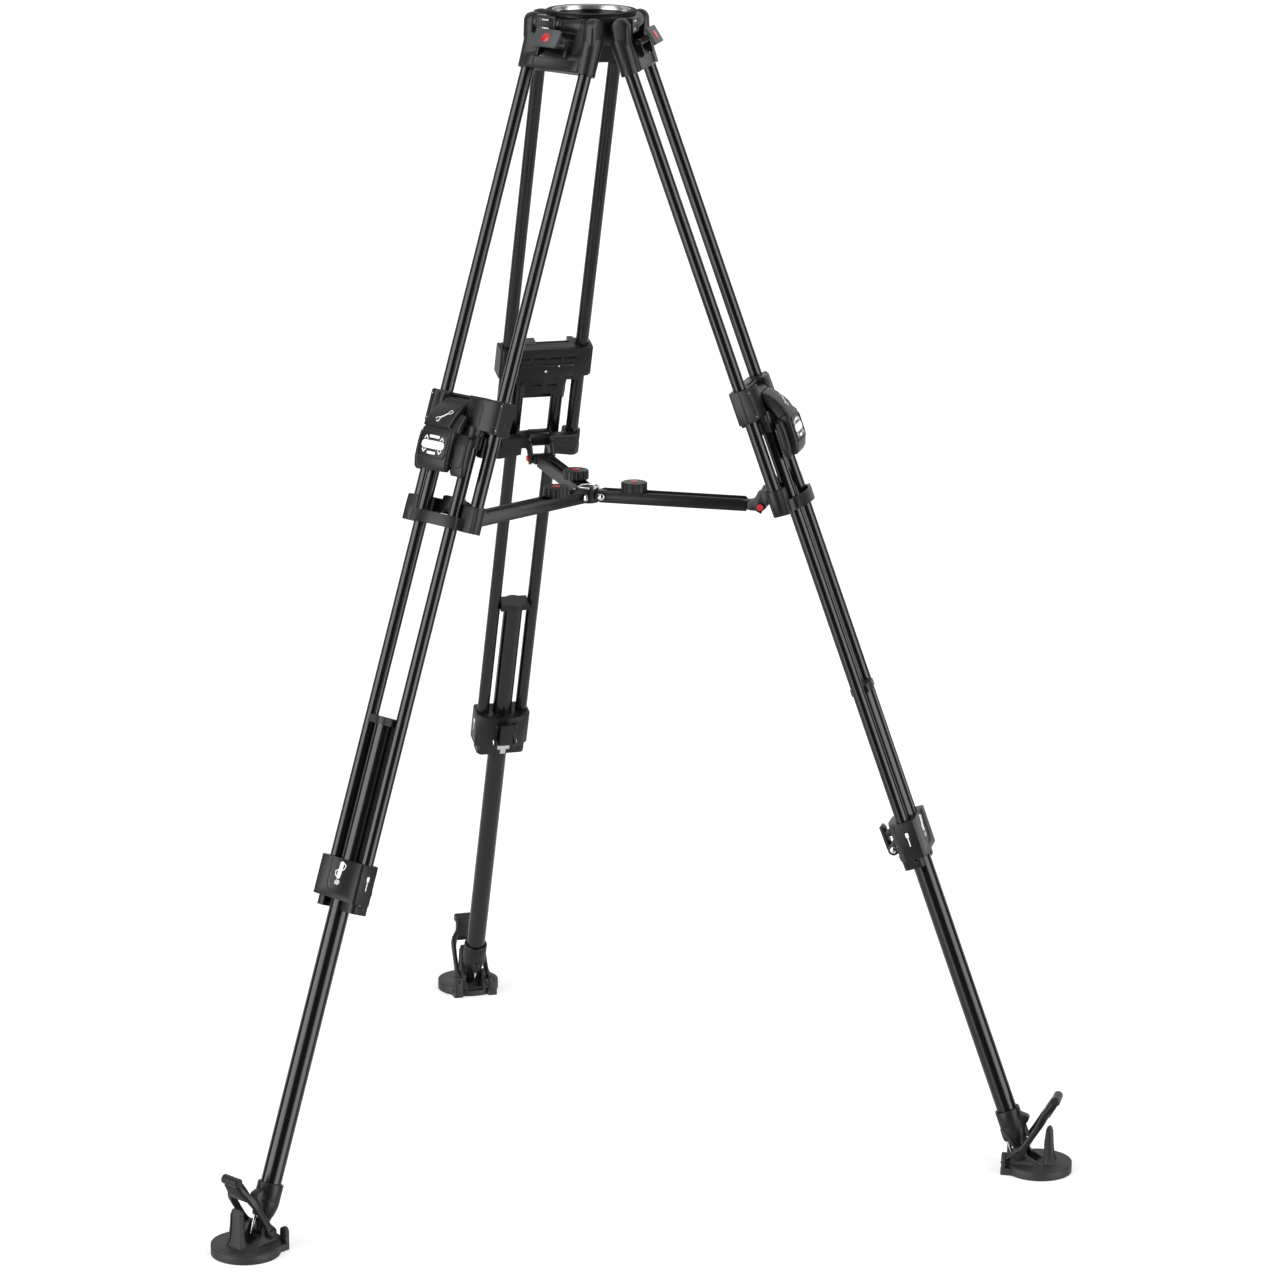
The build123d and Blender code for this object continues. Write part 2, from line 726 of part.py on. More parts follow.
# ------------------------------------------------------------------ spreader (spoke frame at the hub)
def make_hub_body():
    """Hub with a tongue, a steel pin for each arm and the lug of the lift ring."""
    with BuildPart() as hub:
        with BuildSketch(Plane.XY.offset(-10)):
            Circle(13)
        extrude(amount=18)
        for azimuth in LEG_AZIMUTHS.values():
            away = outward(azimuth)
            tangent = away.cross(Vector(0, 0, -1))
            side = Plane(origin=(0, 0, 0), x_dir=away, z_dir=tangent)
            with BuildSketch(side):
                with Locations((arm_pivot, 0)):
                    Circle(7)
                Rectangle(arm_pivot, 14, align=(Align.MIN, Align.CENTER))
            extrude(amount=7.8, both=True)
            with BuildSketch(side):
                with Locations((arm_pivot, 0)):
                    Circle(arm_pin_radius + fixed)
            extrude(amount=12, both=True, mode=Mode.SUBTRACT)
        with BuildSketch(Plane.XY.offset(7)):
            with Locations((0, -ring_side)):
                Rectangle(5, 5)
        extrude(amount=6)
        with BuildSketch(Plane.YZ):
            with Locations((-ring_side, ring_height)):
                Circle(ring_wire + running)
        extrude(amount=5, both=True, mode=Mode.SUBTRACT)
        with BuildSketch(Plane.XY.offset(-10)):
            Circle(4)
        extrude(amount=18, mode=Mode.SUBTRACT)
        for azimuth in LEG_AZIMUTHS.values():
            away = outward(azimuth)
            tangent = away.cross(Vector(0, 0, -1))
            side = Plane(origin=away * arm_pivot, x_dir=away, z_dir=tangent)
            with BuildSketch(side):
                Circle(arm_pin_radius)
            extrude(amount=11.4, both=True)
            for end in (11.4, -13.4):
                with BuildSketch(side.offset(end)):
                    Circle(4.4)
                extrude(amount=2)
    return hub.part


def make_hub_ring():
    """Eight-sided wire ring for lifting the hub."""
    length = 2 * ring_radius * sin(radians(22.5))
    with BuildPart() as ring:
        with PolarLocations(ring_side, 8):
            Cylinder(ring_wire, length, rotation=(90, 0, 0))
        with PolarLocations(ring_radius, 8, start_angle=22.5):
            Sphere(ring_wire)
    return ring.part


def make_channel():
    """Open-topped arm channel, pinned to the hub."""
    with BuildPart() as channel:
        for side in (1, -1):
            centre = side * (channel_half - channel_wall / 2)
            with BuildSketch(side_plane(centre)):
                with BuildLine():
                    Polyline((arm_pivot, -8), (channel_end, -8), (channel_end, 3), (channel_end - 5, 8),
                             (arm_pivot, 8), close=True)
                make_face()
                with Locations((arm_pivot, 0)):
                    Circle(channel_rise)
            extrude(amount=channel_wall / 2, both=True)
        with BuildSketch(Plane.XY.offset(-channel_rise)):
            with Locations((32, 0)):
                Rectangle(channel_end - 32, 2 * channel_half - 1, align=(Align.MIN, Align.CENTER))
            with Locations((knob_spot + 20, 0)):
                SlotCenterToCenter(44, 5.4, mode=Mode.SUBTRACT)
        extrude(amount=channel_wall)
        with BuildSketch(side_plane()):
            with Locations((arm_pivot, 0)):
                Circle(arm_pin_radius + running)
        extrude(amount=20, both=True, mode=Mode.SUBTRACT)
    return channel.part


def make_slider():
    """Slotted rail inside the channel, ending in the block that holds the spreader pin."""
    with BuildPart() as slider:
        with BuildSketch(side_plane()):
            with Locations((50, -5.2)):
                Rectangle(169, 10.4, align=(Align.MIN, Align.MIN))
        extrude(amount=channel_half - channel_wall - loose, both=True)
        with BuildSketch(side_plane()):
            with BuildLine():
                Polyline((218, -5), (222, -6.2), (arm_pin, -6.2), (arm_pin, 6.2), (225, 6.6), (218, 4.4),
                         close=True)
            make_face()
            with Locations((arm_pin, 0)):
                Circle(6.2)
        extrude(amount=12.4, both=True)
        with BuildSketch(side_plane()):
            with Locations((arm_pin, 0)):
                Circle(pin_radius + 0.03)
        extrude(amount=14, both=True, mode=Mode.SUBTRACT)
        with BuildSketch(Plane.XY.offset(-1)):
            with Locations((142, 0)):
                SlotCenterToCenter(100, 6.4)
        extrude(amount=8, mode=Mode.SUBTRACT)
        with BuildSketch(Plane.XY.offset(-8)):
            with Locations((knob_spot, 0)):
                Circle(2.5)
        extrude(amount=16, mode=Mode.SUBTRACT)
    return slider.part


def make_pin():
    """Red-headed pin that joins an arm to its leg bracket."""
    with BuildPart() as pin:
        with BuildSketch(side_plane()):
            with Locations((arm_pin, 0)):
                Circle(pin_radius)
        extrude(amount=18, both=True)
        for start in (17.3, -19.6):
            with BuildSketch(side_plane(start + 2.3)):
                with Locations((arm_pin, 0)):
                    Circle(4.2)
            extrude(amount=2.3)
    return pin.part


def make_knob():
    """Scalloped lock knob with its screw."""
    scallops = 20
    with BuildPart() as knob:
        with BuildSketch(Plane.XY.offset(channel_rise + 0.5)):
            with Locations((knob_spot, 0)):
                Circle(knob_radius)
                with PolarLocations(knob_radius + 1.2, scallops):
                    Circle(2.2, mode=Mode.SUBTRACT)
        extrude(amount=12)
        chamfer(knob.faces().sort_by(Axis.Z)[-1].edges(), 1.2)
        with BuildSketch(Plane.XY.offset(5.4)):
            with Locations((knob_spot, 0)):
                Circle(7)
        extrude(amount=4)
        with BuildSketch(Plane.XY.offset(-9.5)):
            with Locations((knob_spot, 0)):
                Circle(2.2)
        extrude(amount=16)
    return knob.part


# ------------------------------------------------------------------ placing and writing
def write(part, plane, name):
    """Set a finished piece in its place, label it and write its STEP."""
    placed = plane.location * part
    placed.label = name
    export_step(placed, f"parts/{name}.step")


write(make_apex_casting(), apex_plane(), "apex_casting")
write(make_bowl_ring(), apex_plane(), "bowl_ring")
write(make_hinge_pins(), apex_plane(), "hinge_pins")
write(make_hub_body(), apex_plane(hub_height), "hub_body")
write(make_hub_ring(), apex_plane(hub_height + ring_height), "hub_ring")

leg_pieces = {
    "shoulder": make_shoulder(),
    "angle_tab": make_angle_tab(),
    "upper_tubes": make_tube_pair(
        0, outer_half, outer_tube_radius, outer_tube_wall, outer_tube_top, outer_tube_end
    ),
    "spreader_bracket": make_spreader_bracket(),
    "lock_housing": make_lock_housing(),
    "quick_lever": make_quick_lever(),
    "middle_tubes": make_tube_pair(
        stage_offset, middle_half, middle_tube_radius, middle_tube_wall, middle_tube_top, middle_tube_end
    ),
    "lower_clamp": make_lower_clamp(),
    "clamp_lever": make_clamp_lever(),
    "tube_cap": make_tube_cap(),
    "lower_tube": make_lower_tube(),
    "foot": make_foot(),
}
ankle_pieces = {"shoe": make_shoe(), "shoe_lever": make_shoe_lever()}
arm_pieces = {
    "channel": make_channel(),
    "slider": make_slider(),
    "pin": make_pin(),
    "knob": make_knob(),
}

for leg, azimuth in LEG_AZIMUTHS.items():
    for piece, shape in leg_pieces.items():
        write(shape, leg_plane(azimuth), f"leg_{leg}_{piece}")
    for piece, shape in ankle_pieces.items():
        write(shape, spoke_plane(azimuth, ankle_radius), f"leg_{leg}_{piece}")
    for piece, shape in arm_pieces.items():
        write(shape, spoke_plane(azimuth, 0, hub_height), f"arm_{leg}_{piece}")
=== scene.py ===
"""Looks of the twin-tube video tripod: softened castings, printed marks, bright screws and a white studio.

Detail is drawn in millimetres in three local frames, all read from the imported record: the leg frame
(X outward and square to the leg, Y tangent, Z up the leg), the spoke frame (X outward, Y tangent, Z up)
and the apex frame, which is level on the bowl's axis.
"""
import json
from math import cos, hypot, pi, radians, sin, sqrt

import bmesh
import bpy
from mathutils import Matrix, Vector

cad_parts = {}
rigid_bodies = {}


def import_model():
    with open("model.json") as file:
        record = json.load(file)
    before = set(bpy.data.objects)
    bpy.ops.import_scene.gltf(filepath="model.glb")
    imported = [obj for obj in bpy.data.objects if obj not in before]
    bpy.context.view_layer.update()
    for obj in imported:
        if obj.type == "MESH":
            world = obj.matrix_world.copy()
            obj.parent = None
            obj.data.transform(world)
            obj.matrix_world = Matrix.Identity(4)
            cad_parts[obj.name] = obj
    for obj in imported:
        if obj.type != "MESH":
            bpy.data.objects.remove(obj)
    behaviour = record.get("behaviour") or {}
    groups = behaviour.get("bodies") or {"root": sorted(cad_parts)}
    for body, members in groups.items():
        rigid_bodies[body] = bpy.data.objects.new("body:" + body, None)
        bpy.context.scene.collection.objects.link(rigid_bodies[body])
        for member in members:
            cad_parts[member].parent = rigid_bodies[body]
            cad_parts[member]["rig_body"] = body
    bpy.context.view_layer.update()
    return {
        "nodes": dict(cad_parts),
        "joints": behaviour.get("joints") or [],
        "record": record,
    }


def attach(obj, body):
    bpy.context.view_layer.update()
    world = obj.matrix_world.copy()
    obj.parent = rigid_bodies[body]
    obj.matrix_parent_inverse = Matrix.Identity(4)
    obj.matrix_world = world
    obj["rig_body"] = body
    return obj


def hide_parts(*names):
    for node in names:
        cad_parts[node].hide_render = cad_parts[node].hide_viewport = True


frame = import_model()
joints = {joint["name"]: joint for joint in frame["joints"]}
slots = {part["node"]: part["material_slot"] for part in frame["record"]["subparts"]}

LEGS = ("a", "b", "c")
MM = 0.001
LEVER_PIVOT = (13.0, -463.0)
LEVER_MIDDLE = -12.0
CLAMP_PIVOT = (-15.5, -1103.0)
TUBE_SPREAD = 51.65
BOSS_SPOT = (8, 44)
BARREL_CLEARANCE = 11.3
COVER_CENTRE = -482.5
TOWER_RADIUS = 12.2
TOWER_ROOT = (3.5, 26)
STAGE_OFFSET = 12.5
LEVER_LEAN = 31.0
ANKLE_HEIGHT = 26.0
FLOOR_SIZE = 80.0
FLOOR_GLOW = 0.5

# ------------------------------------------------------------------ local frames


def basis(x_dir, z_dir, origin):
    """Matrix with the given X and Z directions and origin."""
    x, z = Vector(x_dir).normalized(), Vector(z_dir).normalized()
    y = z.cross(x)
    matrix = Matrix((x, y, z)).transposed().to_4x4()
    matrix.translation = Vector(origin)
    return matrix


def leg_frame(leg):
    """Leg frame, found from the middle slide's axis and the quick lever's pivot."""
    along = Vector(joints[f"leg_{leg}_middle_slide"]["axis"])
    tangent = Vector(joints[f"leg_{leg}_ankle"]["axis"])
    away = tangent.cross(along)
    pivot = Vector(joints[f"leg_{leg}_quick_lever_flip"]["pos_m"])
    origin = pivot - away * (LEVER_PIVOT[0] * MM) - along * (LEVER_PIVOT[1] * MM)
    return basis(away, along, origin)


def spoke_frame(leg, height):
    """Spoke frame of one leg on the bowl's axis, at a height in metres."""
    tangent = Vector(joints[f"leg_{leg}_ankle"]["axis"])
    away = tangent.cross(Vector((0, 0, 1)))
    hinge = Vector(joints[f"leg_{leg}_fold"]["pos_m"])
    centre = hinge - away * hinge_radius
    return basis(away, (0, 0, 1), (centre.x, centre.y, height))


def shoe_frame(leg):
    """Spoke frame on the floor under one ankle."""
    tangent = Vector(joints[f"leg_{leg}_ankle"]["axis"])
    spot = Vector(joints[f"leg_{leg}_ankle"]["pos_m"])
    return basis(tangent.cross(Vector((0, 0, 1))), (0, 0, 1), (spot.x, spot.y, 0))


def bowl_centre():
    """Middle of the three fold hinges, on the bowl's axis."""
    return sum((Vector(joints[f"leg_{leg}_fold"]["pos_m"]) for leg in LEGS), Vector()) / len(LEGS)


def hinge_distance():
    """Distance of the fold hinges from the bowl's axis."""
    return (Vector(joints["leg_a_fold"]["pos_m"]) - bowl_centre()).length


hinge_radius = hinge_distance()
hub_height = joints["arm_a_fold"]["pos_m"][2]


def facing(direction, x, y, z):
    """Drawing plane on a face that looks along +X, -X, +Y or -Y, with its own Y up the local Z."""
    across = {"+X": (0, 1, 0), "-X": (0, -1, 0), "+Y": (-1, 0, 0), "-Y": (1, 0, 0)}[direction]
    sign = 1 if direction[0] == "+" else -1
    out = (sign, 0, 0) if direction[1] == "X" else (0, sign, 0)
    return basis(across, out, (x, y, z))


def sloping(start, end, tangent=0.0):
    """Drawing plane at the middle of a side-view edge that runs down from start to end."""
    down = Vector((end[0] - start[0], 0, end[1] - start[1])).normalized()
    middle = ((start[0] + end[0]) / 2, tangent, (start[1] + end[1]) / 2)
    return basis((0, 1, 0), Vector((0, 1, 0)).cross(-down), middle)


# ------------------------------------------------------------------ materials


def node_material(name):
    """Empty material with its Principled shader."""
    material = bpy.data.materials.new(name)
    material.use_nodes = True
    return material, material.node_tree.nodes, material.node_tree.links


def noise_node(nodes, links, vector, scale, detail):
    """Noise over the object's own coordinates."""
    node = nodes.new("ShaderNodeTexNoise")
    node.inputs["Scale"].default_value = scale
    node.inputs["Detail"].default_value = detail
    links.new(vector, node.inputs["Vector"])
    return node.outputs["Fac"]


def surface(name, colour, roughness, metallic=0.0, grain=900.0, bump=0.08, mottle=0.12, coat=0.0,
            specular=0.5):
    """Procedural finish: fine grain in the normal, slow mottling in colour and roughness."""
    material, nodes, links = node_material(name)
    shader = nodes["Principled BSDF"]
    shader.inputs["Metallic"].default_value = metallic
    shader.inputs["Specular IOR Level"].default_value = specular
    shader.inputs["Coat Weight"].default_value = coat
    shader.inputs["Coat Roughness"].default_value = 0.12
    place = nodes.new("ShaderNodeTexCoord").outputs["Object"]
    fine = noise_node(nodes, links, place, grain, 3)
    slow = noise_node(nodes, links, place, 18, 6)
    rough = nodes.new("ShaderNodeMapRange")
    rough.inputs["To Min"].default_value = roughness * (1 - mottle)
    rough.inputs["To Max"].default_value = roughness * (1 + mottle)
    links.new(slow, rough.inputs["Value"])
    links.new(rough.outputs["Result"], shader.inputs["Roughness"])
    tint = nodes.new("ShaderNodeValToRGB")
    tint.color_ramp.elements[0].color = [c * (1 - mottle) for c in colour] + [1]
    tint.color_ramp.elements[1].color = [c * (1 + mottle) for c in colour] + [1]
    links.new(slow, tint.inputs["Fac"])
    links.new(tint.outputs["Color"], shader.inputs["Base Color"])
    relief = nodes.new("ShaderNodeBump")
    relief.inputs["Strength"].default_value = bump
    relief.inputs["Distance"].default_value = 0.0003
    links.new(fine, relief.inputs["Height"])
    links.new(relief.outputs["Normal"], shader.inputs["Normal"])
    return material


MATERIALS = {
    "black_casting": surface("black_powder_coat", (0.006, 0.006, 0.007), 0.38, grain=1400, bump=0.22,
                             specular=0.36),
    "black_tube": surface("black_anodised", (0.004, 0.004, 0.004), 0.20, grain=500, bump=0.02, mottle=0.06),
    "bowl_metal": surface("machined_alloy", (0.62, 0.62, 0.64), 0.22, metallic=1.0, grain=60, bump=0.05),
    "steel": surface("polished_steel", (0.72, 0.72, 0.74), 0.14, metallic=1.0, grain=300, bump=0.03),
    "black_plastic": surface("black_moulded", (0.007, 0.007, 0.008), 0.38, grain=2200, bump=0.20,
                             specular=0.38),
    "grey_plastic": surface("grey_moulded", (0.045, 0.046, 0.048), 0.42, grain=1800, bump=0.25),
    "red_plastic": surface("red_lacquer", (0.52, 0.006, 0.008), 0.30, grain=800, bump=0.04, coat=0.4),
    "shoe_rubber": surface("shoe_rubber", (0.016, 0.016, 0.017), 0.56, grain=1100, bump=0.35, mottle=0.16),
}
# Dark copy of the machined alloy for the deep inside of the bowl: painted shade, not a different metal.
SHADED_ALLOY_SEAT = surface("painted_shade_seat", (0.03, 0.03, 0.032), 0.30, metallic=1.0, grain=60, bump=0.05)
BLACK_RIM = surface("black_rim", (0.004, 0.004, 0.005), 0.55, grain=900, bump=0.1, specular=0.12)
WHITE_INK = surface("white_ink", (0.85, 0.85, 0.86), 0.45, grain=1200, bump=0.1, mottle=0.04)

# ------------------------------------------------------------------ mesh tools (all sizes in mm)


def add_prism(mesh, outline, plane, depth, ink=0):
    """Closed prism on a drawing plane, from its outline and depth along the plane's normal."""
    near = [mesh.verts.new(plane @ Vector((x, y, 0)) * MM) for x, y in outline]
    far = [mesh.verts.new(plane @ Vector((x, y, depth)) * MM) for x, y in outline]
    faces = [mesh.faces.new(near[::-1]), mesh.faces.new(far)]
    for i in range(len(outline)):
        j = (i + 1) % len(outline)
        faces.append(mesh.faces.new((near[i], near[j], far[j], far[i])))
    for face in faces:
        face.material_index = ink


def add_ribbon(mesh, points, width, plane, depth, closed=False, ink=0):
    """Raised line of constant width along a path on a drawing plane."""
    count = len(points)
    left, right = [], []
    for i, (x, y) in enumerate(points):
        before = points[i - 1] if closed or i > 0 else None
        after = points[(i + 1) % count] if closed or i < count - 1 else None
        steps = []
        if before:
            steps.append(Vector((x - before[0], y - before[1])).normalized())
        if after:
            steps.append(Vector((after[0] - x, after[1] - y)).normalized())
        along = sum(steps, Vector((0, 0))).normalized()
        square = Vector((-along.y, along.x))
        reach = width / 2 / max(0.35, abs(along.dot(steps[0])))
        left.append((x + square.x * reach, y + square.y * reach))
        right.append((x - square.x * reach, y - square.y * reach))
    rings = []
    for a, b in zip(left, right):
        corners = ((b[0], b[1], 0), (a[0], a[1], 0), (a[0], a[1], depth), (b[0], b[1], depth))
        rings.append([mesh.verts.new(plane @ Vector(c) * MM) for c in corners])
    faces = []
    for i in range(count if closed else count - 1):
        one, two = rings[i], rings[(i + 1) % count]
        for k in range(4):
            m = (k + 1) % 4
            faces.append(mesh.faces.new((one[k], two[k], two[m], one[m])))
    if not closed:
        faces.append(mesh.faces.new(rings[0]))
        faces.append(mesh.faces.new(rings[-1][::-1]))
    for face in faces:
        face.material_index = ink


def add_lathe(mesh, profile, plane, steps=32, ink=0):
    """Solid of revolution about the plane's normal, from (radius, height) points, closed on the axis."""
    rings = []
    for radius, height in profile:
        if radius == 0:
            rings.append([mesh.verts.new(plane @ Vector((0, 0, height)) * MM)])
            continue
        turn = [2 * pi * i / steps for i in range(steps)]
        rings.append([
            mesh.verts.new(plane @ Vector((radius * cos(a), radius * sin(a), height)) * MM) for a in turn
        ])
    faces = []
    for one, two in zip(rings, rings[1:]):
        for i in range(steps):
            j = (i + 1) % steps
            if len(one) == 1:
                faces.append(mesh.faces.new((one[0], two[j], two[i])))
            elif len(two) == 1:
                faces.append(mesh.faces.new((one[i], one[j], two[0])))
            else:
                faces.append(mesh.faces.new((one[i], one[j], two[j], two[i])))
    for face in faces:
        face.material_index = ink


def add_loft(mesh, sections, ink=0):
    """Closed skin over cross-sections, each a ring of points in the local frame."""
    rings = [[mesh.verts.new(Vector(point) * MM) for point in section] for section in sections]
    faces = [mesh.faces.new(rings[0][::-1]), mesh.faces.new(rings[-1])]
    for one, two in zip(rings, rings[1:]):
        for i in range(len(one)):
            j = (i + 1) % len(one)
            faces.append(mesh.faces.new((one[i], one[j], two[j], two[i])))
    for face in faces:
        face.material_index = ink


def level_ring(x, y, width, depth, radius, height):
    """Rounded rectangle at a height, centred on x and y; width runs along X and depth along Y."""
    return [(x + px, y + py, height) for px, py in rounded(width, depth, radius, 6)]


def side_ring(outline, tangent):
    """Side-view outline of (x, z) points at one tangent offset."""
    return [(x, tangent, z) for x, z in outline]


def teardrop(first, second, count=40):
    """Outline around two circles, each (x, y, radius)."""
    points = []
    for i in range(count):
        c, s = cos(2 * pi * (i + 0.5) / count), sin(2 * pi * (i + 0.5) / count)
        x, y, radius = max((first, second), key=lambda k: k[0] * c + k[1] * s + k[2])
        points.append((x + radius * c, y + radius * s))
    return points


def add_bar(mesh, stations, radius, ink=0):
    """Rounded bar along a side-view path of (x, z, width, thickness, tangent) stations."""
    sections = []
    for i, (x, z, width, thickness, tangent) in enumerate(stations):
        before, after = stations[max(0, i - 1)], stations[min(len(stations) - 1, i + 1)]
        run = hypot(after[0] - before[0], after[1] - before[1])
        dx, dz = (after[0] - before[0]) / run, (after[1] - before[1]) / run
        corner = min(radius, 0.49 * width, 0.49 * thickness)
        sections.append([
            (x - v * dz, tangent + u, z + v * dx) for u, v in rounded(width, thickness, corner, 4)
        ])
    add_loft(mesh, sections, ink)


def rounded(width, height, radius, steps=5):
    """Outline of a rectangle with rounded corners, centred on the drawing plane."""
    points = []
    for quarter, (sx, sy) in enumerate(((1, 1), (-1, 1), (-1, -1), (1, -1))):
        for i in range(steps + 1):
            angle = pi / 2 * (quarter + i / steps)
            points.append((
                sx * (width / 2 - radius) + radius * cos(angle),
                sy * (height / 2 - radius) + radius * sin(angle),
            ))
    return points


def arc(x, y, radius, start, end, steps=12):
    """Points on an arc, angles in degrees."""
    turn = [radians(start + (end - start) * i / steps) for i in range(steps + 1)]
    return [(x + radius * cos(a), y + radius * sin(a)) for a in turn]


def moved(points, x, y, angle=0.0):
    """Points turned by an angle in degrees and shifted."""
    c, s = cos(radians(angle)), sin(radians(angle))
    return [(x + px * c - py * s, y + px * s + py * c) for px, py in points]


def smooth_shading(data, angle=40.0):
    """Smooth shading with edges kept sharp above an angle."""
    data.shade_smooth()
    data.set_sharp_from_angle(angle=radians(angle))


def piece_from(mesh, name, place, body, materials, bevel=0.0):
    """Object from a bmesh: set in its place, bevelled, given materials and tied to its body."""
    bmesh.ops.recalc_face_normals(mesh, faces=mesh.faces)
    data = bpy.data.meshes.new(name)
    mesh.to_mesh(data)
    mesh.free()
    piece = bpy.data.objects.new(name, data)
    bpy.context.scene.collection.objects.link(piece)
    piece.matrix_world = place
    for material in materials:
        data.materials.append(material)
    if bevel:
        bevel_edges(piece, bevel)
    smooth_shading(piece.data)
    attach(piece, body)
    return piece


def bevel_edges(piece, width, segments=2, angle=35.0):
    """Applied bevel on every edge sharper than an angle; width in mm."""
    modifier = piece.modifiers.new("bevel", "BEVEL")
    modifier.width = width * MM
    modifier.segments = segments
    modifier.limit_method = "ANGLE"
    modifier.angle_limit = radians(angle)
    modifier.use_clamp_overlap = True
    modifier.miter_outer = "MITER_ARC"
    graph = bpy.context.evaluated_depsgraph_get()
    done = bpy.data.meshes.new_from_object(piece.evaluated_get(graph))
    piece.modifiers.remove(modifier)
    piece.data = done


def soften(node, width):
    """Copy of a CAD node with its edges rounded, which stands for the node."""
    source = frame["nodes"][node]
    mesh = bmesh.new()
    mesh.from_mesh(source.data)
    bmesh.ops.remove_doubles(mesh, verts=mesh.verts, dist=2e-6)
    bmesh.ops.dissolve_limit(mesh, angle_limit=radians(1.5), verts=mesh.verts, edges=mesh.edges)
    piece = piece_from(mesh, f"{node}_body", Matrix.Identity(4), source["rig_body"],
                       [MATERIALS[slots[node]]], width)
    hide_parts(node)


# ------------------------------------------------------------------ the CAD nodes' own finish, and painted shade in the bowl
SOFTENED = {
    "shoulder": 0.9, "angle_tab": 0.7, "spreader_bracket": 0.9, "lock_housing": 0.9, "lower_clamp": 1.0,
    "clamp_lever": 0.6, "shoe": 1.2,
}


def finish_and_shade_bowl():
    """Black rim and outside, bright alloy upper wall, and a dark copy of the alloy on the deep seat as
    painted shade, on the bowl's own faces.
    """
    bowl = frame["nodes"]["bowl_ring"].data
    bowl.materials.append(BLACK_RIM)
    bowl.materials.append(SHADED_ALLOY_SEAT)
    top = max(vertex.co.z for vertex in bowl.vertices)
    centre = bowl_centre()
    flat_depth, shade_depth = 0.6 * MM, 6 * MM
    for face in bowl.polygons:
        away = Vector((face.center.x - centre.x, face.center.y - centre.y))
        outside = face.normal.xy.dot(away) > 0.3 * away.length
        level_top = face.normal.z > 0.8 and face.center.z > top - flat_depth
        if outside or level_top or face.normal.z < -0.5:
            face.material_index = 1
        # Faces more than 6 mm below the top get the dark alloy copy, as painted shade in the bowl's seat.
        elif face.center.z < top - shade_depth:
            face.material_index = 2


def finish_nodes():
    """Materials on every CAD node, and rounded edges on the castings and mouldings."""
    for name, node in frame["nodes"].items():
        node.data.materials.clear()
        node.data.materials.append(MATERIALS[slots[name]])
    for leg in LEGS:
        for piece, width in SOFTENED.items():
            soften(f"leg_{leg}_{piece}", width)
        soften(f"arm_{leg}_channel", 0.4)
        soften(f"arm_{leg}_slider", 0.5)
    finish_and_shade_bowl()
    soften("hub_body", 0.4)
    soften("apex_casting", 0.6)


# ------------------------------------------------------------------ shaped castings and mouldings


def tower_sections(side):
    """Rounded slab over one hinge boss and down into the socket, in steps along the hinge axis."""
    steps = (
        (44, 8.5, 7), (45.5, 10.3, 9.4), (48, 11.6, 10.8), (52, 12.2, 11.4), (56, 12, 11.2),
        (59.5, 11.3, 10.4), (61.6, 10.5, 9.2), (62.6, 8.5, 7), (63, 5, 4),
    )
    sections = []
    for tangent, crown, root in steps:
        outline = teardrop((*BOSS_SPOT, crown), (*TOWER_ROOT, root), 44)
        sections.append([(x, side * tangent, height) for x, height in outline])
    return sections


def cuff_front(height):
    """Outward reach of the flank at a height: over the barrel, down the tower, then along the socket."""
    middle, centre = BOSS_SPOT
    if height > centre:
        return middle + sqrt(TOWER_RADIUS**2 - (height - centre) ** 2)
    if height > TOWER_ROOT[1]:
        return middle + TOWER_RADIUS - 0.29 * (centre - height)
    return 15 - 0.1 * (TOWER_ROOT[1] - height)


def cuff_section(tangent, top, inset):
    """Outline across the hinge axis of the flank, cut free of the barrel, up to one height."""
    middle, centre = BOSS_SPOT
    back, bottom = -3, -4
    waist = min(top, centre - 11.4)
    front_steps, back_steps, inner_steps = 13, 5, 8
    outline = []
    for step in range(front_steps + 1):
        height = top - (top - bottom) * step / front_steps
        outline.append((cuff_front(height) - inset, tangent, height))
    for step in range(back_steps + 1):
        outline.append((back, tangent, bottom + (waist - bottom) * step / back_steps))
    for step in range(inner_steps + 1):
        height = waist + (top - waist) * step / inner_steps
        inner = middle + sqrt(max(0, BARREL_CLEARANCE**2 - (height - centre) ** 2))
        if top <= waist:
            inner = back + (outline[0][0] - back) * step / (inner_steps + 1)
        outline.append((inner, tangent, height))
    return outline


def flank_sections(side):
    """Level outlines of one socket with its flank, from the socket's foot up to the seam."""
    reach = ((-16.8, 40), (-10, 33.5), (-3, 29), (4, 27), (10, 28.5), (16, 32.5), (29, 41))
    sections = []
    for height, inner in reach:
        upper = (height + 17) / 48
        socket = (3 * upper, side * TUBE_SPREAD, 13.0 - 0.6 * upper)
        nose = (3.5, side * (inner + 7), 9.5 - 2.5 * upper)
        sections.append([(x, y, height) for x, y in teardrop(socket, nose, 28)])
    return sections


def shoulder_flanks(leg):
    """Domed towers over the hinge bosses, and swept flanks that run down to the tube sockets."""
    mesh = bmesh.new()
    for side in (1, -1):
        add_loft(mesh, tower_sections(side))
        add_loft(mesh, flank_sections(side))
    start, start_top, slope = 47, 55, 1.7
    cuff = []
    for tangent in (47, 45, 42.5, 40, 37.5, 35, 32.5, 30, 27.5, 25, 22.5):
        run = start - tangent
        cuff.append(cuff_section(tangent, start_top - slope * run, 0.4 + 0.07 * run))
    add_loft(mesh, cuff)
    piece_from(mesh, f"leg_{leg}_shoulder_flanks", leg_frame(leg), f"leg_{leg}",
               [MATERIALS["black_casting"]])


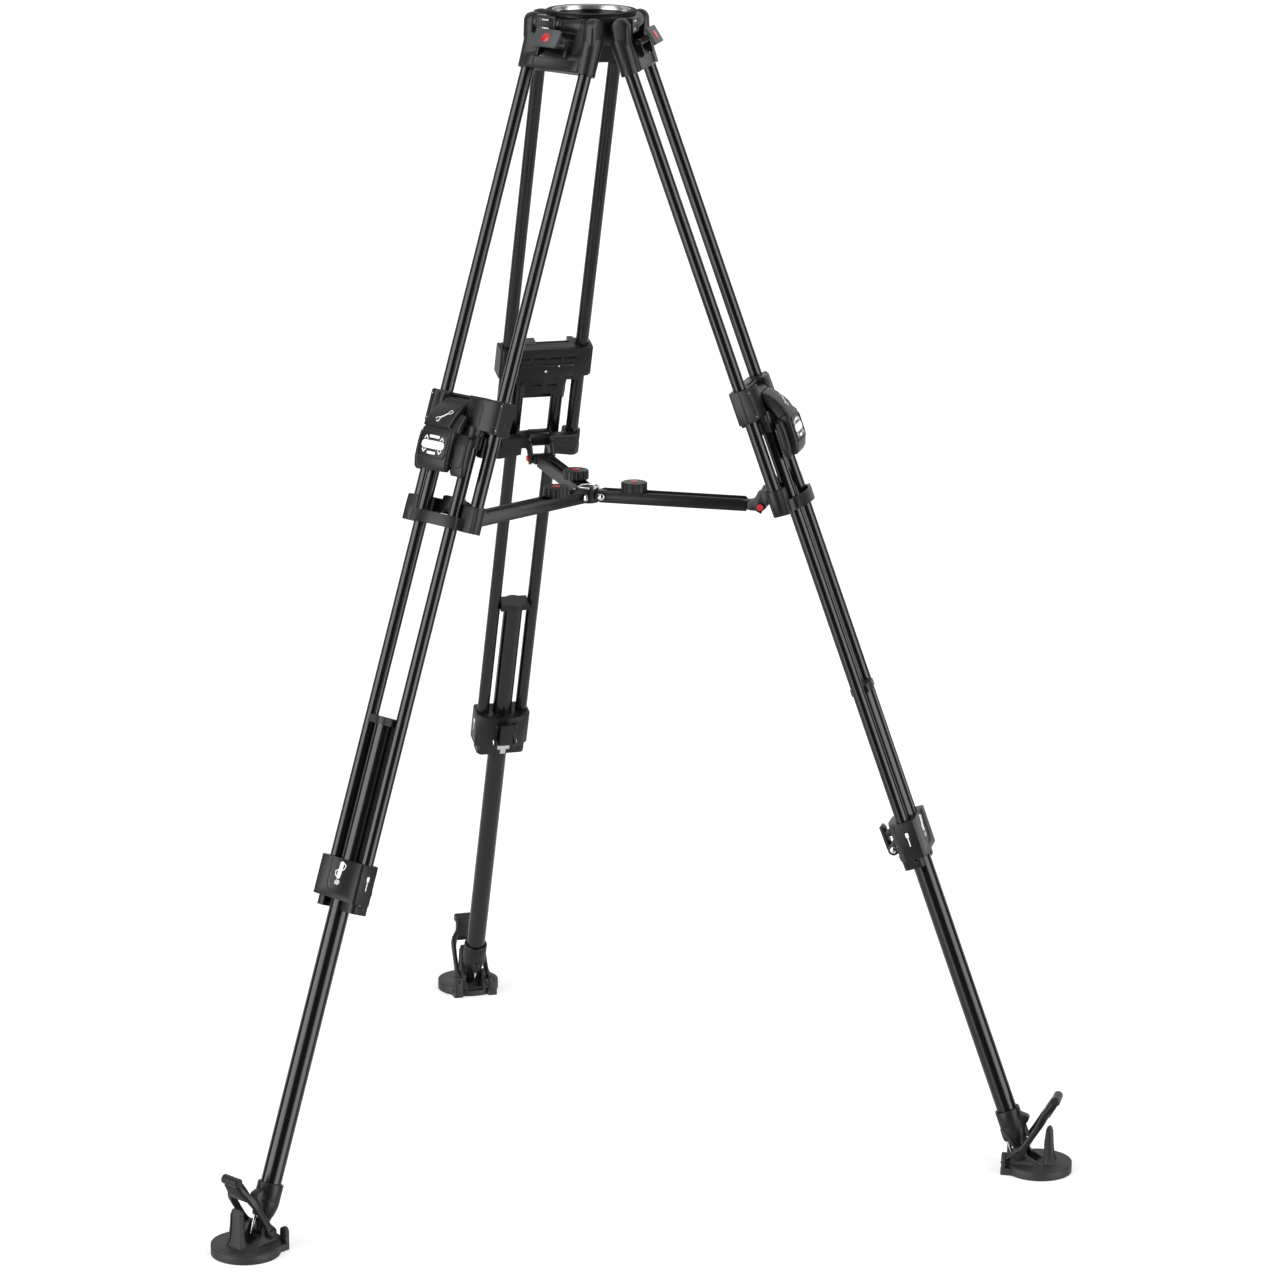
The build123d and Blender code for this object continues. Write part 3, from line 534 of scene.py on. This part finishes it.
def bracket_forms(leg):
    """Flat-faced collars of the spreader bracket, with wedges to the band and wings to the hooks."""
    collar = (
        (-588.5, 9, 19, 2.5), (-590, 10.5, 21.5, 2.5), (-606, 12.5, 22.5, 2.5),
        (-621.6, 12.5, 22.5, 2.5), (-622.6, 11, 21, 2),
    )
    wedge = [(12.9, -606.3), (12.9, -621.8), (22, -621.8), (24, -606.3)]
    wedge_root = [(x - 1.5, z) for x, z in wedge]
    wing = [(-12.5, -590), (-2, -590), (-2, -621.8), (-12.5, -621.8)]
    wing_root = [(-13, -587.5), (-3, -587.5), (-3, -613), (-13, -617)]
    back = 13.4
    mesh = bmesh.new()
    for side in (1, -1):
        middle = side * (TUBE_SPREAD - 0.4)
        add_loft(mesh, [level_ring(back - width / 2, middle, width, depth, radius, height)
                        for height, width, depth, radius in collar])
        add_loft(mesh, [side_ring(wedge, side * 44), side_ring(wedge_root, side * 36.9)])
        add_loft(mesh, [side_ring(wing, side * 50), side_ring(wing_root, side * 21.5)])
    piece_from(mesh, f"leg_{leg}_bracket_forms", leg_frame(leg), f"leg_{leg}",
               [MATERIALS["black_casting"]], 0.6)


def quick_lever(leg):
    """Moulded quick lever: barrel, sloping bridge with its side facet, badge block and wings."""
    mesh = bmesh.new()
    barrel = [(0, 0), (6.2, 0), (7.2, 1), (7.2, 43), (6.2, 44), (0, 44)]
    pivot_x, pivot_z = LEVER_PIVOT
    add_lathe(mesh, barrel, basis((1, 0, 0), (0, 1, 0), (pivot_x, LEVER_MIDDLE - 22, pivot_z)), 36)
    pin = [(0, 0), (3, 0), (3, 56), (0, 56)]
    add_lathe(mesh, pin, basis((1, 0, 0), (0, 1, 0), (pivot_x, LEVER_MIDDLE - 28, pivot_z)), 24)
    bridge = (
        (19, -466, 42, 9, LEVER_MIDDLE), (24, -472, 43, 13, LEVER_MIDDLE), (30, -481, 44, 15, LEVER_MIDDLE),
        (35.5, -491, 44.5, 16, LEVER_MIDDLE), (38, -500, 45, 16, LEVER_MIDDLE),
    )
    add_bar(mesh, bridge, 3.2)
    facet = ((25.5, -479, 11, 9, 15.4), (29, -486, 12, 11, 15.6), (33, -494, 13, 12, 15.6),
             (34.5, -502, 13.5, 12, 15.4))
    add_bar(mesh, facet, 3)
    block = (
        (37.8, -498, 50, 11, -6), (38.6, -503, 55, 16, -6), (38.6, -512, 56.5, 17, -6),
        (38.4, -530, 56.5, 17, -6), (37.6, -542, 56, 16, -6), (36.6, -549, 54, 13, -6),
        (35.6, -553.5, 50, 8, -6),
    )
    add_bar(mesh, block, 4.5)
    for side, inner in ((1, 20), (-1, 30)):
        outer = 45
        width, middle = outer - inner, side * (outer + inner) / 2
        wing = (
            (31, -503, width - 5, 7, side * (inner + width / 2 - 2)), (32, -507, width, 11, middle),
            (32.4, -520, width, 12, middle), (31.6, -540, width, 12, middle),
            (30.6, -552, width - 1, 8, middle), (30.2, -556, width - 6, 4, middle - side / 2),
        )
        add_bar(mesh, wing, 4)
    add_bar(mesh, ((29.8, -514, 66, 4, 0), (29.6, -530, 66, 4, 0), (29.2, -548, 66, 4, 0)), 1.5)
    piece = piece_from(mesh, f"leg_{leg}_quick_lever_body", leg_frame(leg), f"quick_lever_{leg}",
                       [MATERIALS["black_plastic"]])
    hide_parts(f"leg_{leg}_quick_lever")


def foot_casting(leg):
    """Foot: lipped collar, hull down to the knuckle, gusset towards the lever, spike bosses and spikes."""
    mesh = bmesh.new()
    up = basis((1, 0, 0), (0, 0, 1), (STAGE_OFFSET, 0, 0))
    collar = [
        (0, -1494), (13.7, -1494), (14.1, -1492), (16.2, -1492), (17, -1492.8), (17, -1516), (0, -1516),
    ]
    add_lathe(mesh, collar, up, 48)
    hull = (
        (-1514, 34, 34, 17), (-1521, 33.4, 32.6, 16), (-1527, 31, 29.6, 14), (-1533, 26.6, 25, 11),
        (-1539, 21, 20.4, 8.5), (-1545, 17.4, 18.6, 6), (-1551, 16.2, 18.2, 5), (-1556, 14, 18, 5),
        (-1559.5, 8.5, 17, 3.5), (-1560.8, 3.5, 15, 1.5),
    )
    sections = []
    for height, width, depth, radius in hull:
        corner = min(radius, width / 2.05, depth / 2.05)
        sections.append(level_ring(STAGE_OFFSET, 0, width, depth, corner, height))
    add_loft(mesh, sections)
    gusset = [(26, -1501), (29.5, -1502.5), (37, -1508.5), (38, -1511.5), (36.5, -1514.5), (31, -1519),
              (27.5, -1526), (24, -1530)]
    add_loft(mesh, [side_ring(gusset, t) for t in (-6.5, 6.5)])
    for offset in (-12.9, 12.9):
        down = basis((1, 0, 0), (0, 0, -1), (STAGE_OFFSET + offset, 0, 0))
        boss = [(0, 1518), (5.6, 1518), (5.6, 1532), (4.6, 1535.5), (0, 1536)]
        spike = [(0, 1530), (3.2, 1530), (3.2, 1538), (2.7, 1541), (0.7, 1562), (0, 1562.4)]
        add_lathe(mesh, boss, down, 28)
        add_lathe(mesh, spike, down, 24, ink=1)
    piece = piece_from(mesh, f"leg_{leg}_foot_body", leg_frame(leg), f"low_{leg}",
                       [MATERIALS["black_casting"], MATERIALS["steel"]], 0.5)
    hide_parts(f"leg_{leg}_foot")


def shoe_cheeks(mesh):
    """Flared cheeks of the shoe on both sides of the ankle."""
    flank = (
        (12.4, -25, 31.5, 9.6), (14.2, -20.5, 25.5, 8.9), (17, -15.5, 18.5, 7.8), (20.5, -11.8, 13, 7),
        (25, -10, 10.2, 6.8), (29, -9.2, 9.2, 6.7), (32.5, -7, 7, 6.6), (34.6, -4, 4, 6),
        (35.4, -1.5, 1.5, 5),
    )
    for side in (1, -1):
        sections = []
        for height, start, end, depth in flank:
            middle, radius = side * (12.1 + depth / 2), min(3, (end - start) / 2.1)
            sections.append(level_ring((start + end) / 2, middle, end - start, depth, radius, height))
        add_loft(mesh, sections)


def shoe_tongue(mesh):
    """Latch tongue at the shoe's outer end, with a lip along each edge."""
    tongue = (
        (12.4, 30.5, 46.5, 30, 4), (15, 31.4, 45, 25.5, 4), (20, 32, 43.8, 21.5, 4),
        (30, 31.9, 42.4, 19, 4), (44, 32, 41.6, 18, 4), (55, 33.2, 41.4, 17.6, 4),
        (60, 34.4, 40.6, 16.5, 3), (62, 36.2, 39.4, 13, 1.5),
    )
    add_loft(mesh, [level_ring((start + end) / 2, 0, end - start, depth, radius, height)
                    for height, start, end, depth, radius in tongue])
    lip = (
        (12.4, 43, 47.5, 4, 14), (16, 41.5, 46, 3.4, 11.8), (24, 40.4, 44, 2.8, 9.9),
        (40, 39.6, 42.6, 2.2, 8.9), (56, 39, 41.8, 1.8, 8.5),
    )
    for side in (1, -1):
        sections = []
        for height, start, end, depth, half in lip:
            middle = side * (half - depth / 2 + 0.9)
            sections.append(level_ring((start + end) / 2, middle, end - start, depth, 0.8, height))
        add_loft(mesh, sections)


def shoe_forms(leg):
    """Flared cheeks, latch tongue and raised rim on the rubber shoe."""
    place = shoe_frame(leg)
    rubber = [MATERIALS["shoe_rubber"]]
    mesh = bmesh.new()
    shoe_cheeks(mesh)
    shoe_tongue(mesh)
    piece_from(mesh, f"leg_{leg}_shoe_forms", place, f"shoe_{leg}", rubber)
    mesh = bmesh.new()
    ring = arc(0, 0, 43.8, 0, 360, 96)[:-1]
    add_ribbon(mesh, ring, 2.2, basis((1, 0, 0), (0, 0, 1), (24, 0, 12.2)), 1.0, closed=True)
    piece_from(mesh, f"leg_{leg}_shoe_rim", place, f"shoe_{leg}", rubber, 0.3)


def lever_spot(reach, width, thickness, tangent, lift=0.0):
    """Station of the leaning latch lever at a distance from the ankle, lifted square to the lever."""
    lean = radians(LEVER_LEAN)
    x = sin(lean) * reach + cos(lean) * lift
    z = ANKLE_HEIGHT + cos(lean) * reach - sin(lean) * lift
    return (x, z, width, thickness, tangent)


def shoe_lever_arms(mesh):
    """Two curved arms of the latch lever, with ringed round heads at the ankle."""
    arm = (
        (-7.6, 5.6, 5, 22.4), (-4, 6.1, 13, 22.4), (0, 6.2, 16.4, 22.4), (5, 6.2, 14.5, 22.4),
        (10, 6.1, 11, 22.4), (18, 6, 9.4, 22.4), (32, 6, 9, 22.4), (45, 6.4, 9.4, 22.2),
        (54, 8, 10, 20.8), (61, 10, 9.6, 17.5), (68, 10, 8.6, 13),
    )
    head = [(0, 0), (6.3, 0), (6.3, 0.8), (5.9, 1.3), (5.2, 1.3), (4.8, 0.7), (4.4, 1.7), (0, 2)]
    for side in (1, -1):
        stations = [
            lever_spot(reach, width, thickness, side * tangent) for reach, width, thickness, tangent in arm
        ]
        add_bar(mesh, stations, 2.4)
        add_lathe(mesh, head, basis((1, 0, 0), (0, side, 0), (0, side * 25, ANKLE_HEIGHT)), 36)


def shoe_lever_neck(mesh):
    """Ribbed neck of the latch lever."""
    neck = (
        (55.5, 35, 4), (58, 44, 8), (62, 42, 9.4), (68, 35, 9.6), (74, 29.5, 9.4), (80, 27.5, 9.6),
        (86, 27, 10.4),
    )
    add_bar(mesh, [lever_spot(reach, width, thickness, 0) for reach, width, thickness in neck], 3.4)
    for rib in range(5):
        for lift in (4.6, -4.6):
            start = lever_spot(67 + 3.6 * rib, 31 - rib, 2, 0, lift)
            end = lever_spot(69 + 3.6 * rib, 31 - rib, 2, 0, lift)
            add_bar(mesh, (start, end), 0.8)


def shoe_lever(leg):
    """Forked latch lever: round heads, curved arms, ribbed neck and cross handle."""
    mesh = bmesh.new()
    shoe_lever_arms(mesh)
    shoe_lever_neck(mesh)
    handle_x, handle_z = lever_spot(90, 0, 0, 0)[:2]
    handle = [(0, 0), (4.6, 0), (6.3, 1.6), (6.3, 28.4), (4.6, 30), (0, 30)]
    add_lathe(mesh, handle, basis((1, 0, 0), (0, 1, 0), (handle_x, -15, handle_z)), 32)
    pin = [(0, 0), (4, 0), (4, 50), (0, 50)]
    add_lathe(mesh, pin, basis((1, 0, 0), (0, 1, 0), (0, -25, ANKLE_HEIGHT)), 28)
    piece = piece_from(mesh, f"leg_{leg}_shoe_lever_body", shoe_frame(leg), f"shoe_lever_{leg}",
                       [MATERIALS["black_plastic"]])
    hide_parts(f"leg_{leg}_shoe_lever")


def cheek_cover(mesh, side, inner):
    """Cover over one cheek of the lock housing, swept back towards its collar."""
    faces = (
        (inner, 10, 19.6), (inner + 1.5, 9.5, 20.6), (40, 9.5, 20.6), (50, 9.6, 18.2), (57, 9.7, 15),
        (60.2, 9.8, 12.6),
    )
    sections = []
    for tangent, low, high in faces:
        outline = rounded(high - low, 41, 1.6, 4)
        sections.append([(x + (low + high) / 2, side * tangent, z - 471.2) for x, z in outline])
    add_loft(mesh, sections)


def housing_forms(leg):
    """Cheek covers, collar plates and top rod of the lock housing, and the cover on its inner side."""
    plate = [(x + 0.5, z - 471) for x, z in rounded(25, 44.6, 2.5, 4)]
    slim = [(x * 0.96 + 0.5, z * 0.975 - 471 * 0.025) for x, z in plate]
    mesh = bmesh.new()
    for side, inner in ((1, 13), (-1, 37)):
        cheek_cover(mesh, side, inner)
        add_loft(mesh, [
            side_ring(plate, side * 60.9), side_ring(plate, side * 64.4), side_ring(slim, side * 65.2),
        ])
    rod = [(0, 0), (1.9, 0), (1.9, 52), (0, 52)]
    add_lathe(mesh, rod, basis((1, 0, 0), (0, 1, 0), (8.5, -37, -451)), 20)
    centre = COVER_CENTRE
    cover = [(t, z + centre) for t, z in rounded(82, 20, 6, 6)]
    face = [(-15.8, t * 0.985, centre + (z - centre) * 0.94) for t, z in cover]
    add_loft(mesh, [[(-13.6, t, z) for t, z in cover], [(-15.2, t, z) for t, z in cover], face])
    piece_from(mesh, f"leg_{leg}_housing_forms", leg_frame(leg), f"mid_{leg}",
               [MATERIALS["black_casting"]])


def clamp_forms(leg):
    """Round lugs and bright latch on the inner side of the lower clamp."""
    mesh = bmesh.new()
    for side in (1, -1):
        lug = teardrop((*CLAMP_PIVOT, 7.8), (-5, -1097, 10))
        add_loft(mesh, [side_ring(lug, side * 11.2), side_ring(lug, side * 16.2)])
        bump = teardrop((-14, -1079, 4.6), (-7, -1078, 6))
        add_loft(mesh, [side_ring(bump, side * 12), side_ring(bump, side * 17)])
    piece_from(mesh, f"leg_{leg}_clamp_lugs", leg_frame(leg), f"mid_{leg}",
               [MATERIALS["black_casting"]], 1.0)
    mesh = bmesh.new()
    block = [(t, z - 1114.2) for t, z in rounded(18, 7.4, 1, 3)]
    tongue = [(t, z - 1121.5) for t, z in rounded(8, 9, 1, 3)]
    add_loft(mesh, [[(x, t, z) for t, z in block] for x in (-9, -14.2)])
    add_loft(mesh, [[(x, t, z) for t, z in tongue] for x in (-7, -13.4)])
    piece_from(mesh, f"leg_{leg}_clamp_latch", leg_frame(leg), f"mid_{leg}",
               [MATERIALS["steel"]], 0.3)


# ------------------------------------------------------------------ printed and bright detail


def cap_profile(radius, height):
    """Profile of a low domed screw head."""
    return [(0, 0), (radius, 0), (radius, height * 0.45), (radius * 0.8, height * 0.85), (0, height)]


def tab_badge(leg):
    """Red badge in a ring on the angle-release tab."""
    mesh = bmesh.new()
    plane = sloping((31.8, 31.4), (37.0, 8.0))
    add_lathe(mesh, [(0, -0.4), (6.2, -0.4), (6.2, 0.35), (5.6, 0.6), (0, 0.6)], plane, 40)
    piece_from(mesh, f"leg_{leg}_tab_badge", leg_frame(leg), f"tab_{leg}",
               [MATERIALS["red_plastic"]])


def lever_marks(leg):
    """White spanner sign and plain badge on the quick lever, with its raised frame and wing outline."""
    mesh = bmesh.new()
    slope = sloping((36.5, -477.2), (42.9, -487.9), -5)
    slope.translation -= slope.to_3x3() @ Vector((0, 0, 1.2))
    for shift in (-0.75, 0.75):
        shaft = [(-4.6 + shift * 0.8, -4.6 - shift * 0.8), (4.4 + shift * 0.8, 4.4 - shift * 0.8)]
        add_ribbon(mesh, shaft, 0.8, slope, 1.7)
    add_ribbon(mesh, arc(-7.2, -7.2, 3.2, -95, 185, 12), 0.9, slope, 1.7)
    add_ribbon(mesh, arc(6.6, 6.6, 2.6, 85, -20, 8), 0.8, slope, 1.7)
    add_ribbon(mesh, [(6.6, 9.2), (4.6, 8.2), (3.4, 5.6)], 0.8, slope, 1.7)
    add_ribbon(mesh, [(9, 5.7), (8.2, 4.3), (5.4, 3.2)], 0.8, slope, 1.7)
    block = sloping((47.1, -512), (46.9, -534), -6)
    add_ribbon(mesh, rounded(48, 33, 6.5), 1.2, block, 0.9, closed=True, ink=1)
    add_prism(mesh, rounded(40, 10.5, 5.0), block, 0.45)
    for side in (1, -1):
        add_prism(mesh, moved(rounded(18 - 3 * (side < 0), 3.6, 1.7), 0, side * 10.6), block, 0.45)
        for end in (1, -1):
            peak = [(end * 10.8, side * 6.4), (end * 14, side * 10.6), (end * 17.2, side * 6.4)]
            add_ribbon(mesh, peak, 1.3, block, 0.45)
    wing = sloping((38.4, -512), (37.8, -545), 33)
    add_ribbon(mesh, rounded(17, 34, 5), 0.8, wing, 0.6, closed=True, ink=1)
    groove = sloping((44, -497.5), (45.5, -500.5), -12)
    add_prism(mesh, rounded(40, 1.2, 0.5), groove, 1.0, ink=1)
    piece_from(mesh, f"leg_{leg}_lever_marks", leg_frame(leg), f"quick_lever_{leg}",
               [WHITE_INK, MATERIALS["black_plastic"]])


def housing_lines(leg):
    """Rounded outline on the lock housing's cheeks, cover lines and screws."""
    mesh = bmesh.new()
    cheek = facing("+X", 20.5, 30, -471.5)
    outline = [(-11, -14)] + arc(-1, 2, 10, 180, 90, 8) + [(9, 12), (9, -14)]
    add_ribbon(mesh, outline, 0.8, cheek, 0.5, closed=True)
    inner = facing("-X", -15.6, 0, COVER_CENTRE)
    add_lathe(mesh, [(0, 0), (3.4, 0), (3.4, 0.9), (2.7, 0.9), (2.5, 0.2), (0, 0.2)], inner, 28)
    add_lathe(mesh, cap_profile(1.9, 1.1), inner, 20, ink=1)
    for tangent in (-17.5, 17.5):
        seam = facing("-X", -15.6, tangent, COVER_CENTRE)
        add_ribbon(mesh, [(0, -8.6), (0, 8.6)], 0.5, seam, 0.35)
    add_lathe(mesh, cap_profile(1.1, 0.6), facing("-X", -15.6, -18, -475), 16, ink=1)
    for side in (1, -1):
        for height in (-455, -487):
            tiny = facing("+X", 12.9, side * 63, height)
            add_lathe(mesh, cap_profile(0.9, 0.5), tiny, 14, ink=1)
    piece_from(mesh, f"leg_{leg}_housing_lines", leg_frame(leg), f"mid_{leg}",
               [MATERIALS["black_casting"], MATERIALS["steel"]])


def clamp_marks(leg):
    """White label in the clamp's shield, a small driver sign on its sides, and its bright screws."""
    mesh = bmesh.new()
    shield = facing("+X", 29.2, 0, -1084)
    add_prism(mesh, moved(rounded(6.4, 23, 2.8), 1, 3, -6), shield, 0.25)
    add_ribbon(mesh, [(4.5, 13), (9.2, 10.5), (7.6, 5.5), (4.2, 3.2)], 1.2, shield, 0.25)
    add_ribbon(mesh, [(-2.4, 3.4), (-6.6, 0.4), (-5.4, -4.6), (-1.2, -6.6)], 1.2, shield, 0.25)
    for shift in (-2.2, 0, 2.2):
        add_prism(mesh, moved(rounded(9 - abs(shift), 1.2, 0.5), shift * 0.4, -13 + shift, -8), shield, 0.25)
    for side in (1, -1):
        plane = basis((-side, 0.02, 0), (0.02, side, 0), (14.5, side * 38.75, -1090))
        add_ribbon(mesh, [(0, -9), (0, 3)], 1.3, plane, 0.25)
        add_prism(mesh, moved(rounded(4.2, 6.5, 1.0), 0, 6.5), plane, 0.25)
    piece_from(mesh, f"leg_{leg}_clamp_marks", leg_frame(leg), f"mid_{leg}", [WHITE_INK])
    mesh = bmesh.new()
    for side in (1, -1):
        head = facing("+Y" if side > 0 else "-Y", CLAMP_PIVOT[0], side * 16.0, CLAMP_PIVOT[1])
        add_lathe(mesh, cap_profile(4.6, 2.0), head, 28)
    piece_from(mesh, f"leg_{leg}_clamp_screws", leg_frame(leg), f"mid_{leg}", [MATERIALS["steel"]],
               0.2)


def knob_badge(leg):
    """Red disc on top of a spreader knob."""
    spot = Vector(joints[f"arm_{leg}_knob_turn"]["pos_m"])
    place = spoke_frame(leg, hub_height)
    reach = (place.inverted() @ spot).x / MM
    mesh = bmesh.new()
    plane = basis((1, 0, 0), (0, 0, 1), (reach, 0, 20.5))
    add_lathe(mesh, [(0, -0.5), (5.2, -0.5), (5.2, 0.4), (4.6, 0.8), (0, 0.8)], plane, 32)
    piece_from(mesh, f"arm_{leg}_knob_badge", place, f"knob_{leg}",
               [MATERIALS["red_plastic"]])


def hub_screws(leg):
    """Bright screw heads on both sides of an arm's hub pin."""
    place = spoke_frame(leg, hub_height)
    reach = (place.inverted() @ Vector(joints[f"arm_{leg}_fold"]["pos_m"])).x / MM
    mesh = bmesh.new()
    for side in (1, -1):
        head = facing("+Y" if side > 0 else "-Y", reach, side * 13.3, 0)
        add_lathe(mesh, cap_profile(4.5, 1.8), head, 28)
    piece_from(mesh, f"arm_{leg}_hub_screws", place, "hub", [MATERIALS["steel"]], 0.15)


def shoulder_detail(leg):
    """Seam and lip lines and small screws of the shoulder, and the plain dashes on the angle block."""
    mesh = bmesh.new()
    for side in (1, -1):
        seam = basis((1, 0, 0), (0, 0, 1), (2.6, side * TUBE_SPREAD, 27))
        add_ribbon(mesh, arc(0, 0, 11.4, 0, 360, 40)[:-1], 0.5, seam, 0.9, closed=True)
        lip = basis((1, 0, 0), (0, 0, 1), (0, side * TUBE_SPREAD, -14))
        add_ribbon(mesh, arc(0, 0, 12.9, 0, 360, 48)[:-1], 0.7, lip, 0.9, closed=True)
        screw = facing("+X", 14.0, side * 21.0, -0.5)
        add_lathe(mesh, cap_profile(1.3, 0.8), screw, 20, ink=1)
    piece_from(mesh, f"leg_{leg}_shoulder_lines", leg_frame(leg), f"leg_{leg}",
               [MATERIALS["black_casting"], MATERIALS["steel"]])
    mesh = bmesh.new()
    height = joints[f"leg_{leg}_fold"]["pos_m"][2]
    for row in (5.4, -5.4):
        plate = facing("+X", hinge_radius / MM + 11.3, -21, row)
        for shift, width in ((-5, 2.6), (-1.2, 2.6), (3.2, 3.6)):
            add_prism(mesh, moved(rounded(width, 1.5, 0.4), shift, 0), plate, 0.25)
    piece_from(mesh, f"leg_{leg}_block_dashes", spoke_frame(leg, height), "apex",
               [WHITE_INK])


DRESSING = (
    shoulder_flanks, bracket_forms, quick_lever, foot_casting, shoe_forms, shoe_lever, housing_forms,
    clamp_forms, tab_badge, lever_marks, housing_lines, clamp_marks, knob_badge, hub_screws,
    shoulder_detail,
)


# ------------------------------------------------------------------ studio
CAMERA_SPOT = (-1.6970, -5.9360, 2.2533)
CAMERA_HEADING = 72.97
CAMERA_PITCH = -14.496
CAMERA_ROLL = 0.4915
CAMERA_LENS = 130.48
SOFTBOXES = (
    (CAMERA_HEADING + 122, 26, 4.4),
    (CAMERA_HEADING - 120, 21, 4.2),
    (CAMERA_HEADING, 60, 0.8),
)
SOFTBOX_BLUR = 14.0
SOFTBOX_FOOT = (-0.50, -0.28)
SOFTBOX_HEAD = (0.55, 0.80)
ROOM_LIGHT = 0.04
CEILING_LIGHT = 0.75
BOUNCE_LIGHT = 0.7


def set_camera():
    """Camera at the reference viewing angle."""
    heading, pitch, roll = radians(CAMERA_HEADING), radians(CAMERA_PITCH), radians(CAMERA_ROLL)
    forward = Vector((cos(pitch) * cos(heading), cos(pitch) * sin(heading), sin(pitch)))
    right = Vector((sin(heading), -cos(heading), 0))
    up = right.cross(forward)
    right, up = right * cos(roll) + up * sin(roll), up * cos(roll) - right * sin(roll)
    data = bpy.data.cameras.new("camera")
    data.lens = CAMERA_LENS
    data.sensor_width = 36
    camera = bpy.data.objects.new("camera", data)
    camera.matrix_world = basis(right, -forward, CAMERA_SPOT)
    bpy.context.scene.collection.objects.link(camera)
    bpy.context.scene.camera = camera


def math_node(nodes, links, operation, first, second):
    """Math node whose inputs are sockets or numbers."""
    node = nodes.new("ShaderNodeMath")
    node.operation = operation
    for socket, value in zip(node.inputs, (first, second)):
        if isinstance(value, (int, float)):
            socket.default_value = value
        else:
            links.new(value, socket)
    return node.outputs[0]


def ramp_node(nodes, links, value, start, end, low, high):
    """Smooth step between two levels."""
    node = nodes.new("ShaderNodeMapRange")
    node.interpolation_type = "SMOOTHSTEP"
    node.inputs["From Min"].default_value = start
    node.inputs["From Max"].default_value = end
    node.inputs["To Min"].default_value = low
    node.inputs["To Max"].default_value = high
    links.new(value, node.inputs["Value"])
    return node.outputs["Result"]


def vector_node(nodes, links, operation, source, value=None):
    """Vector math node over a socket and an optional fixed vector."""
    node = nodes.new("ShaderNodeVectorMath")
    node.operation = operation
    links.new(source, node.inputs[0])
    if value:
        node.inputs[1].default_value = value
    return node


def softbox_level(nodes, links, direction):
    """Sum of the tall softboxes, by heading."""
    level = vector_node(nodes, links, "MULTIPLY", direction, (1, 1, 0)).outputs[0]
    unit = vector_node(nodes, links, "NORMALIZE", level).outputs[0]
    boxes = 0.0
    for azimuth, half_width, strength in SOFTBOXES:
        middle = (cos(radians(azimuth)), sin(radians(azimuth)), 0)
        side = vector_node(nodes, links, "DOT_PRODUCT", unit, middle).outputs["Value"]
        edges = [cos(radians(half_width + sign * SOFTBOX_BLUR / 2)) for sign in (1, -1)]
        band = ramp_node(nodes, links, side, *edges, 0, strength)
        boxes = math_node(nodes, links, "ADD", band, boxes)
    return boxes


def set_studio_light():
    """World that works as tall softboxes left, right and behind, a dim ceiling and a bright floor."""
    world = bpy.data.worlds.new("studio")
    bpy.context.scene.world = world
    world.use_nodes = True
    nodes, links = world.node_tree.nodes, world.node_tree.links
    direction = nodes.new("ShaderNodeTexCoord").outputs["Generated"]
    boxes = softbox_level(nodes, links, direction)
    split = nodes.new("ShaderNodeSeparateXYZ")
    links.new(direction, split.inputs[0])
    rise = split.outputs["Z"]
    foot = ramp_node(nodes, links, rise, *SOFTBOX_FOOT, 0, 1)
    head = ramp_node(nodes, links, rise, *SOFTBOX_HEAD, 1, 0)
    boxes = math_node(nodes, links, "MULTIPLY", boxes, foot)
    boxes = math_node(nodes, links, "MULTIPLY", boxes, head)
    ceiling = ramp_node(nodes, links, rise, *SOFTBOX_HEAD, ROOM_LIGHT, CEILING_LIGHT)
    bounce = ramp_node(nodes, links, rise, *SOFTBOX_FOOT, BOUNCE_LIGHT, 0)
    total = math_node(nodes, links, "ADD", boxes, ceiling)
    total = math_node(nodes, links, "ADD", total, bounce)
    seen = nodes.new("ShaderNodeLightPath").outputs["Is Camera Ray"]
    total = math_node(nodes, links, "MAXIMUM", total, seen)
    background = nodes["Background"]
    background.inputs["Color"].default_value = (1, 1, 1, 1)
    links.new(total, background.inputs["Strength"])


def set_floor():
    """Wide white floor that the castings don't mirror."""
    data = bpy.data.meshes.new("floor")
    half = FLOOR_SIZE / 2
    data.from_pydata([(-half, -half, 0), (half, -half, 0), (half, half, 0), (-half, half, 0)], [],
                     [(0, 1, 2, 3)])
    floor = bpy.data.objects.new("floor", data)
    bpy.context.scene.collection.objects.link(floor)
    material, nodes, _ = node_material("white_floor")
    shader = nodes["Principled BSDF"]
    shader.inputs["Base Color"].default_value = (0.62, 0.62, 0.62, 1)
    shader.inputs["Roughness"].default_value = 0.9
    shader.inputs["Specular IOR Level"].default_value = 0.1
    shader.inputs["Emission Color"].default_value = (1, 1, 1, 1)
    shader.inputs["Emission Strength"].default_value = FLOOR_GLOW
    data.materials.append(material)
    floor.visible_glossy = False


finish_nodes()
for leg in LEGS:
    for dress in DRESSING:
        dress(leg)
set_camera()
set_floor()
set_studio_light()
bpy.context.scene.view_settings.view_transform = "Standard"
